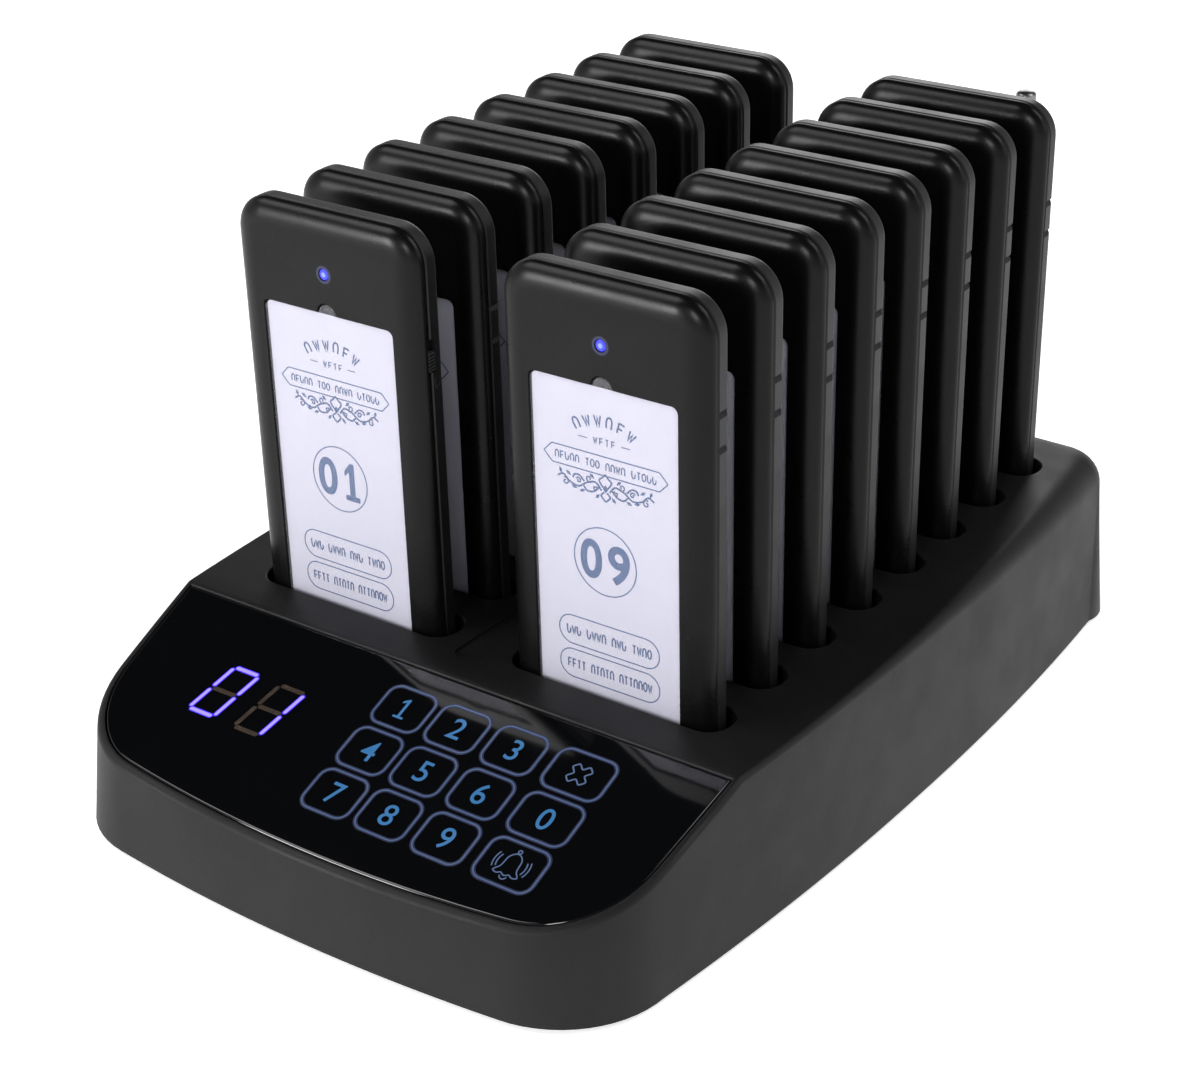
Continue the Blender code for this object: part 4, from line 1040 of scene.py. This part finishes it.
def rear_screws():
    bm = bmesh.new()
    for spot in REAR_SCREWS:
        loft(bm, [[(*point, z) for point in circle(r, 20, spot)] for r, z in SCREW_HEAD_LEVELS])
    return mesh_from(bm, "rear_screws", UPRIGHT)


def label_print(number):
    """The card's printing: marks, a ribbon, scrollwork, the number in a ring and two bars."""
    bm = bmesh.new()
    low, high, fine = 0.0, 0.00004, 0.00026
    add_scribble(bm, (-0.0086, -0.0325), (0.0082, -0.0325), 0.0024, (6,), low, high, 0.0135, 3)
    add_scribble(bm, (-0.0030, -0.0345), (0.0028, -0.0345), 0.0014, (4,), low, high, None, 5)
    for start, end in ((-0.0064, -0.0043), (0.0041, 0.0062)):
        ribbon(bm, [(start, -0.0345), (end, -0.0345)], 0.0002, low, high)
    ends, top, bottom, corner = 0.0151, -0.0377, -0.0419, 0.0131
    middle = (top + bottom) / 2
    hexagon = [(ends, middle), (corner, top), (-corner, top)]
    hexagon += [(-ends, middle), (-corner, bottom), (corner, bottom)]
    ribbon(bm, rounded_corners(hexagon, 0.00015), fine, low, high, closed=True)
    add_scribble(bm, (-0.0125, middle), (0.0125, middle), 0.0016, (5, 3, 4, 5), low, high, None, 8)
    add_scrolls(bm, low, high)
    ring_centre = (-0.0005, -0.0616)
    ribbon(bm, circle(0.0077, 72, ring_centre), fine, low, high, closed=True)
    add_number(bm, number, ring_centre, low, high)
    for y, words, seed in ((-0.0799, (3, 4, 3, 4), 11), (-0.0880, (4, 5, 7), 13)):
        bar = rounded_rectangle(0.0252, 0.0068, 0.0033, 9, (0, y))
        ribbon(bm, bar, fine, low, high, closed=True)
        add_scribble(bm, (-0.0108, y), (0.0108, y), 0.0020, words, low, high, None, seed)
    bm.transform(Matrix.Translation((0, CARD_FRONT, PAGER_HEIGHT)) @ UPRIGHT)
    return mesh_from(bm, "card_print")


def add_scrolls(bm, low, high):
    """Mirrored scrollwork of stems, curls and leaves, with a small lozenge and drops at its middle."""
    y = -0.0448
    stems = [[(1.0, -0.6), (2.4, 0.9), (4.6, 0.3), (6.6, -1.0), (8.8, -0.5), (10.4, 0.8), (11.8, 0.1)]]
    stems += [[(0.6, 0.2), (1.5, 1.6), (0.7, 2.4), (0.0, 3.2)], [(0.3, -0.8), (1.1, -1.7), (0.0, -2.9)]]
    stems += [[(1.6, 0.0), (2.8, -1.2), (4.4, -1.5), (5.4, -0.6)]]
    stems += [[(5.2, 0.4), (6.4, 1.5), (7.6, 1.4), (8.0, 0.6)]]
    curls = [((9.9, -0.7), 0.9, 60), ((4.0, 1.3), 0.9, 200)]
    curls += [((6.6, 0.3), 0.7, 20), ((2.6, -0.4), 0.6, 120)]
    leaves = [(3.2, 2.0, 40), (5.6, -1.7, -20), (7.6, -1.4, 15)]
    leaves += [(9.0, 1.3, 35), (11.0, 1.4, 70), (1.9, -2.0, -50)]
    for side in (-1, 1):

        def at(points):
            return [(side * x * MM, y + v * MM) for x, v in points]

        for stem in stems:
            ribbon(bm, smooth_line(at(stem)), 0.00040, low, high)
        for (cx, cy), radius, start in curls:
            curl = []
            for step in range(14):
                turn, r = math.radians(start + 32 * step), radius * (1 - step / 16)
                curl.append((cx + r * math.cos(turn), cy + r * math.sin(turn)))
            ribbon(bm, at(curl), 0.00032, low, high)
        for x, v, turn in leaves:
            c, d = math.cos(math.radians(turn)), math.sin(math.radians(turn))
            leaf = [(0.9, 0), (0.2, 0.38), (-0.7, 0), (0.2, -0.38)]
            outline = at([(x + s * c - t * d, v + s * d + t * c) for s, t in leaf])
            add_prism(bm, outline if side > 0 else outline[::-1], low, high)
    lozenge = [(0.0007, y), (0, y + 0.0009), (-0.0007, y), (0, y - 0.0009)]
    add_prism(bm, rounded_corners(lozenge, 0.0002), low, high)


def slide_switch():
    """A ridged thumb slide with a notch at each end, standing up along the side of the pager."""
    low, high = PAGER_HEIGHT - SWITCH_BOTTOM + GAP, PAGER_HEIGHT - SWITCH_TOP - GAP - SWITCH_TRAVEL
    inner, outer, valley = PAGER_WIDTH / 2 - 0.0009, PAGER_WIDTH / 2 + 0.0003, PAGER_WIDTH / 2 - 0.0002
    profile = [(inner, low), (valley, low)]
    ridges = 6
    pitch = (high - low) / ridges
    shoulder = outer - 0.00005
    across = ((shoulder, 0.25), (outer, 0.4), (outer, 0.6), (shoulder, 0.75), (valley, 0.98))
    for number in range(ridges):
        z = low + number * pitch
        profile += [(x, z + pitch * share) for x, share in across]
    profile += [(inner, high)]
    rings = [[(x, y, z) for x, z in profile] for y in (0.0029, 0.0047)]
    return loft_mesh("slide_switch", rings)


def contact_pads():
    bm = bmesh.new()
    for side in (-1, 1):
        spot = (side * CONTACT_X, PAGER_DEPTH / 2)
        outline = rounded_rectangle(0.0024, 0.0034, 0.0006, 5, spot)
        add_prism(bm, outline, -0.00012, 0.0004)
    return mesh_from(bm, "contact_pads")


# (share of the light's radius, depth behind the front face)
LENS_LEVELS = [(1, 0.0022), (1, 0.00018), (0.88, 0.00005), (0.6, 0.00001)]
CORE_LEVELS = [(0.50, 0.0004), (0.44, -0.00001), (0.25, -0.00004)]


def light_profile(levels):
    return [(LIGHT_RADIUS * share, depth) for share, depth in levels]


def plain_outline(grow):
    return rounded_rectangle(LABEL_WIDTH + 2 * grow, LABEL_LENGTH + 2 * grow, LABEL_CORNER + grow, 5)


def make_pagers():
    shells = {first: (front_shell(first), rear_shell(first)) for first in (True, False)}
    screws = rear_screws()
    card_levels = [(-0.00005, CARD_BACK), (0, CARD_FRONT + 0.00004), (-0.00004, CARD_FRONT)]
    card = label_prism("card", card_levels, plain_outline)
    edge = 0.00010
    sheet_levels = [(0, WINDOW_BACK), (0, WINDOW_FRONT + edge), (-edge * 0.4, WINDOW_FRONT + edge * 0.3)]
    window = label_prism("window", sheet_levels + [(-edge, WINDOW_FRONT)])
    lens = turned("light_lens", light_profile(LENS_LEVELS), 32, facing(LIGHT_DROP))
    core = turned("light_core", light_profile(CORE_LEVELS), 24, facing(LIGHT_DROP))
    # a painted glow ring on the front face round the light
    halo = bmesh.new()
    ribbon(halo, circle(LIGHT_RADIUS + 0.0005, 32), 0.0006, -0.00001, 0.0001, closed=True)
    halo = mesh_from(halo, "light_halo", facing(LIGHT_DROP))
    slide, pads = slide_switch(), contact_pads()
    for number, (x, y) in enumerate(well_places(), 1):
        body = f"pager_{number:02d}"
        place = DECK_FRAME @ Matrix.Translation((x, y, -PAGER_SUNK))
        first = number == 1

        def fit(kind, mesh, paint, slot, nodes=(), rides=body, **more):
            named = [f"{body}_{node}" for node in nodes]
            piece(f"{body}_{kind}", mesh, paint, rides, slot, named, place, **more)

        front, rear = shells[first]
        fit("front", front, BLACK, "black_plastic", ["front_shell"], sharp=20)
        fit("rear", rear, BACK, "black_plastic", ["rear_shell"], sharp=20)
        fit("card", card, CARD, "number_card", ["label_card"] if first else [])
        fit("print", label_print(number), INK, "number_card", weighted=False)
        fit("window", window, CLEAR, "clear_plastic", ["clear_window"] if first else [])
        fit("light", lens, LIGHT, "light_pipe", ["light_pipe"] if first else [])
        fit("light_core", core, LIGHT_CORE, "light_pipe")
        fit("light_halo", halo, LIGHT_HALO, "light_pipe", weighted=False)
        fit("pads", pads, GOLD, "bright_steel")
        fit("screws", screws, DARK_STEEL, "bright_steel")
    place = DECK_FRAME @ Matrix.Translation((*well_places()[0], -PAGER_SUNK))
    switch = ["pager_01_side_switch"]
    piece("pager_01_slide", slide, SWITCH, "pager_01_switch", "switch_plastic", switch, place)
    piece("pager_01_arrow", side_arrow(), SWITCH, "pager_01", "switch_plastic", (), place)


# ---------------------------------------------------------------- charging and rear wall
def make_charge_board():
    top = -WELL_FLOOR - WELL_WALL - GAP
    sheet = bmesh.new()
    centre = (0, (ROW_PITCH * ROWS - 0.0100) / 2)
    outline = rounded_rectangle(0.1200, ROW_PITCH * ROWS - 0.0020, 0.0020, 5, centre)
    add_prism(sheet, outline, top - 0.0016, top)
    mesh = mesh_from(sheet, "charge_sheet", DECK_FRAME)
    piece("charge_sheet", mesh, BOARD, "base", "circuit_board", ["charge_board"])
    springs = bmesh.new()
    levels = [(0, top), (0, -WELL_FLOOR - 0.0005), (0.00015, -WELL_FLOOR - 0.0001)]
    levels += [(0.0004, -WELL_FLOOR)]
    for spot in contact_spots():
        rings = []
        for inset, level in levels:
            size = (CONTACT_SIZE[0] - 2 * inset, CONTACT_SIZE[1] - 2 * inset, 0.0003)
            rings.append([(*point, level) for point in rounded_rectangle(*size, 4, spot)])
        loft(springs, rings)
    mesh = mesh_from(springs, "charge_contacts", DECK_FRAME)
    piece("charge_contacts", mesh, GOLD, "base", "bright_steel", ["charge_board"])


def make_jack():
    width, length, height = JACK_SIZE
    place = rear_frame(JACK_X, JACK_Z)
    edge = 0.0004
    levels = [(0, JACK_PROUD - length), (0, JACK_PROUD - edge)]
    levels += [(edge * 0.3, JACK_PROUD - edge * 0.3), (edge, JACK_PROUD)]
    rings = []
    for inset, depth in levels:
        outline = rounded_rectangle(width - 2 * inset, height - 2 * inset, 0.0008, 5)
        rings.append([(x, depth, z) for x, z in outline])
    block = loft_mesh("jack_block", rings, place)
    out = place @ Matrix.Translation((0, JACK_PROUD, 0)) @ Matrix.Rotation(math.radians(-90), 4, "X")
    profile = [(0.0032, -0.0100), (0.0032, -0.0004), (0.0036, LIP_RISE), (0.0036, 0.002)]
    mesh = carve(block, cuts=[turned("bore", profile, 48, out)])
    piece("dc_inlet", mesh, JACK, "base", "jack_plastic", ["dc_jack"])
    pin = turned("pin", rounded_profile(0.0010, -0.0102, -0.0015, 0.0004), 32, out)
    piece("dc_inlet_pin", pin, STEEL, "base", "bright_steel")
    sleeve_rings = [(0.0031, -0.0098), (0.0031, -0.0010), (0.0028, -0.0010), (0.0028, -0.0096)]
    sleeve = turned("sleeve", sleeve_rings, 48, out)
    piece("dc_inlet_sleeve", sleeve, STEEL, "base", "bright_steel")


def rocker_outline():
    face, dish, half, back = 0.0042, 0.0007, ROCKER_HALF_HEIGHT, 0.0050
    points = []
    for step in range(13):
        z = half - 2 * half * step / 12
        points.append((face + dish * (z / half) ** 2, z))
    points.append((0.0012, -half))
    for step in range(15):
        turn = math.radians(250 - 10 * step)
        points.append((back * math.cos(turn), back * math.sin(turn)))
    points.append((0.0012, half))
    return points


def make_rocker():
    hinge = Matrix.Translation((0, -ROCKER_PIVOT_DEPTH, 0)) @ Matrix.Rotation(-ROCKER_TILT, 4, "X")
    place = rear_frame(ROCKER_X, ROCKER_Z) @ hinge
    width, edge = ROCKER_WIDTH / 2, 0.0004
    rings = []
    for x, shrink in ((-width, edge), (-width + edge * 0.3, edge * 0.3), (-width + edge, 0)):
        flat, tall = 1 - shrink / 0.005, 1 - shrink / 0.006
        rings.append([(x, y * flat, z * tall) for y, z in rocker_outline()])
    rings += [[(-x, y, z) for x, y, z in ring] for ring in rings[::-1]]
    rocker = loft_mesh("rocker", rings, place)
    piece("power_rocker", rocker, ROCKER, "power_rocker", "rocker_plastic", ["power_switch"])
    marks = bmesh.new()
    ribbon(marks, circle(0.0011, 24, (0, -0.0038)), 0.0003, 0, 0.00006, closed=True)
    add_prism(marks, rounded_rectangle(0.00035, 0.0024, 0.00015, 3, (0, 0.0038)), 0, 0.00006)
    for vertex in marks.verts:
        vertex.co.z += 0.0042 + 0.0007 * (vertex.co.y / ROCKER_HALF_HEIGHT) ** 2
    upright = Matrix.Rotation(math.radians(-90), 4, "X") @ Matrix.Scale(-1, 4, (0, 1, 0))
    mesh = mesh_from(marks, "rocker_marks", place @ upright)
    piece("power_rocker_marks", mesh, MARK, "power_rocker", "rocker_plastic", weighted=False)
    frame_bm = bmesh.new()
    inner = (ROCKER_WIDTH / 2 + GAP, ROCKER_HALF_HEIGHT + ROCKER_CLEARANCE)
    outline = rounded_rectangle(2 * inner[0] + 0.0014, 2 * inner[1] + 0.0014, 0.0012, 5)
    ribbon(frame_bm, outline, 0.0012, -0.0002, 0.00045, closed=True)
    out = Matrix.Rotation(math.radians(-90), 4, "X")
    mesh = mesh_from(frame_bm, "rocker_bezel", rear_frame(ROCKER_X, ROCKER_Z) @ out)
    piece("power_rocker_bezel", mesh, JACK, "base", "rocker_plastic")


# ---------------------------------------------------------------- antenna
def chrome_piece(name, mesh, body, node, place):
    piece(name, mesh, CHROME, body, "chrome_plate", [node], place)


def make_antenna():
    swivel = Matrix.Translation((ANTENNA_X, ANTENNA_Y, HINGE_Z))
    sideways = Matrix.Rotation(math.radians(90), 4, "Y")
    slot_half, pin_radius, ear_radius = 0.0015, 0.0008, 0.0036
    bottom = -HINGE_ABOVE_DECK - KNUCKLE_SUNK
    profile = [(KNUCKLE_RADIUS, bottom), (KNUCKLE_RADIUS, -0.0046), (KNUCKLE_RADIUS - 0.0003, -0.0044)]
    profile += [(KNUCKLE_RADIUS - 0.0003, -0.0041), (KNUCKLE_RADIUS, -0.0039), (KNUCKLE_RADIUS, 0.0008)]
    for step in range(1, 7):
        turn = math.pi / 2 * step / 6
        radius = KNUCKLE_RADIUS - 0.0006 * (1 - math.cos(turn))
        profile.append((radius, 0.0008 + 0.0025 * math.sin(turn)))
    knuckle = turned("knuckle", profile)
    slot_bm = bmesh.new()
    add_box(slot_bm, (-slot_half, -OVERSHOOT, -0.0036), (slot_half, OVERSHOOT, OVERSHOOT))
    knuckle = carve(knuckle, cuts=[mesh_from(slot_bm, "slot")])
    chrome_piece("antenna_knuckle_fork", knuckle, "antenna_swivel", "antenna_knuckle", swivel)
    reach = ear_radius + 0.0002
    pin = turned("pin", rounded_profile(pin_radius, -reach, reach, 0.0002), 24, sideways)
    piece("antenna_hinge_pin", pin, STEEL, "antenna_swivel", "bright_steel", (), swivel)

    outer, inner = OUTER_TUBE
    tube_top = ANTENNA_TOP - BUTTON_HEIGHT - 3 * GAP - HINGE_Z
    plug = 0.0020
    profile = [(outer - 0.0004, TUBE_START), (outer - 0.0001, TUBE_START + 0.0002)]
    profile += [(outer, TUBE_START + 0.0005), (outer, tube_top - 0.0003)]
    profile += [(outer - 0.0002, tube_top), (inner, tube_top)]
    tube = turned("outer_tube", profile + [(inner, TUBE_START + plug)])
    tang_half, tang_radius = slot_half - GAP, 0.0024
    turns = [math.pi * (1 + step / 16) for step in range(17)]
    tang = [(tang_radius * math.cos(t), tang_radius * math.sin(t)) for t in turns]
    tang += [(0.0018, TUBE_START + 0.0008), (-0.0018, TUBE_START + 0.0008)]
    tang_mesh = loft_mesh("tang", [[(x, y, z) for y, z in tang] for x in (-tang_half, tang_half)])
    bore_radius, bore_reach = pin_radius + GAP, tang_half + 0.001
    bore = turned("bore", [(bore_radius, -bore_reach), (bore_radius, bore_reach)], 24, sideways)
    tube = carve(carve(tube, joins=[tang_mesh]), cuts=[bore])
    chrome_piece("antenna_tube_1", tube, "antenna_outer", "antenna_outer_tube", swivel)

    outer, inner = MIDDLE_TUBE
    start, top = TUBE_START + plug + GAP, tube_top + GAP
    profile = [(outer, start), (outer, top - 0.0002), (outer - 0.0002, top), (inner, top)]
    tube = turned("middle_tube", profile + [(inner, start + plug)])
    chrome_piece("antenna_tube_2", tube, "antenna_middle", "antenna_middle_tube", swivel)

    start, top = start + plug + GAP, ANTENNA_TOP - HINGE_Z
    under = top - BUTTON_HEIGHT
    edge, dome = 0.0004, 0.0011
    profile = [(ROD_RADIUS, start), (ROD_RADIUS, under)]
    profile += [(BUTTON_RADIUS - edge, under), (BUTTON_RADIUS, under + edge)]
    for step in range(10):
        turn = math.pi / 2 * step / 9.3
        profile.append((BUTTON_RADIUS * math.cos(turn), top - dome * (1 - math.sin(turn))))
    tip = turned("tip", profile)
    chrome_piece("antenna_tip_button", tip, "antenna_end", "antenna_tip", swivel)


# ---------------------------------------------------------------- underside
def make_cover():
    """The bottom cover with standoffs, vent slots, a blank plate and counterbored screw holes."""
    stations = plan_stations()
    top = SKIRT_Z + COVER_THICKNESS
    levels = [(SKIRT_Z, WALL + GAP + 0.0003), (SKIRT_Z + 0.0003, WALL + GAP), (top, WALL + 2 * GAP)]
    rings = []
    for level, inset in levels:

        def offset(out, inward=inset):
            return draft_at(out) - inward

        rings.append(base_ring(stations, offset, lambda point, z=level: z))
    cuts = bmesh.new()
    for spot in FOOT_PLACES:
        add_prism(cuts, circle(FOOT_RADIUS + GAP, 40), 0, FOOT_HEIGHT + GAP, spot)
    wide, narrow = SCREW_HEAD_RADIUS + GAP, SCREW_SHANK_RADIUS + GAP
    ledge = SKIRT_Z + SCREW_HEAD_HEIGHT + GAP
    counterbore = [(wide, 0), (wide, ledge), (narrow, ledge), (narrow, top + OVERSHOOT)]
    for spot in SCREW_PLACES:
        loft(cuts, [[(*point, z) for point in circle(radius, 32, spot)] for radius, z in counterbore])
    for row in range(9):
        for side in (-1, 1):
            outline = rounded_rectangle(0.0300, 0.0018, 0.0009, 5, (side * 0.028, 0.030 + row * 0.0042))
            add_prism(cuts, outline, 0, SKIRT_Z + 0.0014)
    plate = rounded_rectangle(0.0640, 0.0360, 0.0030, 6, (0, -0.0300))
    add_prism(cuts, plate, 0, SKIRT_Z + 0.0004)
    mesh = carve(loft_mesh("cover", rings), cuts=[mesh_from(cuts, "cover_cuts")])
    piece("bottom_plate", mesh, COVER, "base", "cover_plastic", ["bottom_cover"])
    posts = bmesh.new()
    for spot in ((0.045, -0.035), (-0.045, -0.035), (0.045, 0.040), (-0.045, 0.040)):
        add_prism(posts, circle(0.0025, 24), top - 0.0004, 0.0080 - GAP, spot)
    piece("board_standoffs", mesh_from(posts, "posts"), COVER, "base", "cover_plastic")


def make_feet():
    profile = [(0.0020, 0.0003), (0.0040, 0.0003), (0.0043, 0), (0.0053, 0)]
    profile += [(0.0058, 0.0002), (0.0060, 0.0006), (FOOT_RADIUS, FOOT_HEIGHT)]
    mesh = turned("foot_pad", profile, 56)
    for number, (x, y) in enumerate(FOOT_PLACES, 1):
        place, nodes = Matrix.Translation((x, y, 0)), [f"rubber_foot_{number}"]
        piece(f"foot_pad_{number}", mesh, RUBBER, "base", "foot_rubber", nodes, place)


def make_screws():
    head, end = SCREW_HEAD_HEIGHT, SCREW_HEAD_HEIGHT + SCREW_LENGTH
    profile = [(0.0022, 0), (0.0026, 0.0002), (SCREW_HEAD_RADIUS, 0.0006), (SCREW_HEAD_RADIUS, head)]
    shank = SCREW_SHANK_RADIUS
    profile += [(shank, head), (shank, end - 0.001), (shank / 2, end)]
    cross = bmesh.new()
    add_prism(cross, cross_outline((0, 0), 0.0015, 0.0003, 0), -0.001, 0.0008)
    mesh = carve(turned("case_screw", profile), cuts=[mesh_from(cross, "cross")])
    for number, (x, y) in enumerate(SCREW_PLACES, 1):
        place, nodes = Matrix.Translation((x, y, SKIRT_Z)), [f"housing_screw_{number}"]
        piece(f"case_screw_{number}", mesh, STEEL, "base", "bright_steel", nodes, place)


def repaint_inside():
    """The pieces that stay as packed get finished materials."""
    paints = dict.fromkeys(["main_board", "touch_board", "pager_01_board"], BOARD)
    paints.update({"display_module": DISPLAY, "pager_01_battery": BATTERY})
    paints["pager_01_vibration_motor"] = STEEL
    for name, paint in paints.items():
        mesh = frame["nodes"][name].data
        mesh.materials.clear()
        mesh.materials.append(paint)


# ---------------------------------------------------------------- camera, light and floor
SKY = [(0.22, (0.95, 0.95, 0.96, 1)), (0.60, (0.012, 0.012, 0.013, 1))]  # (height, colour)
CAMERA_PLACE, CAMERA_TILT, CAMERA_TURN = (0.2845, -0.4118, 0.2867), 64.34, 35.27
LENS_MM, SENSOR_MM = 71.34, 36.0
FLOOR_RADIUS, FLOOR_THICK = 6.0, 0.02
# name, direction from the aim point, distance, size and power
SOFTBOXES = [
    ("key_light", (-0.52, -0.41, 0.71), 1.2, 0.55, 5.0),
    ("top_right", (0.55, 0.25, 0.80), 1.5, 0.80, 7.5),
    ("right_fill", (0.90, 0.15, 0.42), 1.4, 0.70, 2.0),
    ("front_fill", (0.20, -0.89, 0.41), 1.5, 0.30, 5.5),
    ("front_left", (-0.52, -0.84, 0.18), 1.5, 0.34, 10.0),
    ("rear_fill", (-0.35, 0.85, 0.40), 1.6, 0.70, 4.5),
]


def make_stage():
    scene = bpy.context.scene
    scene.view_settings.view_transform = "Standard"
    data = bpy.data.cameras.new("camera")
    data.lens, data.sensor_width = LENS_MM, SENSOR_MM
    camera = bpy.data.objects.new("camera", data)
    scene.collection.objects.link(camera)
    camera.location = CAMERA_PLACE
    camera.rotation_euler = (math.radians(CAMERA_TILT), 0, math.radians(CAMERA_TURN))
    scene.camera = camera

    bm = bmesh.new()
    add_prism(bm, circle(FLOOR_RADIUS, 96), -FLOOR_THICK, 0)
    floor = bpy.data.objects.new("floor", mesh_from(bm, "floor"))
    glow = {"Emission_Color": (1, 1, 1, 1), "Emission_Strength": 0.60}
    white = surface("floor_white", (0.93, 0.93, 0.93), 0.7, 0.03, 0.01, 3, 0, 1, **glow)
    floor.data.materials.append(white)
    scene.collection.objects.link(floor)

    world = bpy.data.worlds.new("studio")
    world.use_nodes = True
    tree = world.node_tree
    direction = tree.nodes.new("ShaderNodeTexCoord").outputs["Generated"]
    split = tree.nodes.new("ShaderNodeSeparateXYZ")
    tree.links.new(direction, split.inputs[0])
    ramp = tree.nodes.new("ShaderNodeValToRGB")
    for stop, (position, colour) in zip(ramp.color_ramp.elements, SKY):
        stop.position, stop.color = position, colour
    tree.links.new(split.outputs["Z"], ramp.inputs["Fac"])
    background = tree.nodes["Background"]
    background.inputs["Strength"].default_value = 0.80
    tree.links.new(ramp.outputs["Color"], background.inputs["Color"])
    scene.world = world

    aim = Vector((0, 0, 0.05))
    for name, direction, distance, size, power in SOFTBOXES:
        light_data = bpy.data.lights.new(name, "AREA")
        light_data.shape, light_data.size, light_data.energy = "SQUARE", size, power
        light = bpy.data.objects.new(name, light_data)
        light.location = aim + Vector(direction).normalized() * distance
        light.rotation_euler = (aim - light.location).to_track_quat("-Z", "Y").to_euler()
        scene.collection.objects.link(light)


def main():
    make_stage()
    make_housing()
    make_panel()
    make_keys()
    make_digits()
    make_pagers()
    make_charge_board()
    make_jack()
    make_rocker()
    make_antenna()
    make_cover()
    make_feet()
    make_screws()
    repaint_inside()


main()
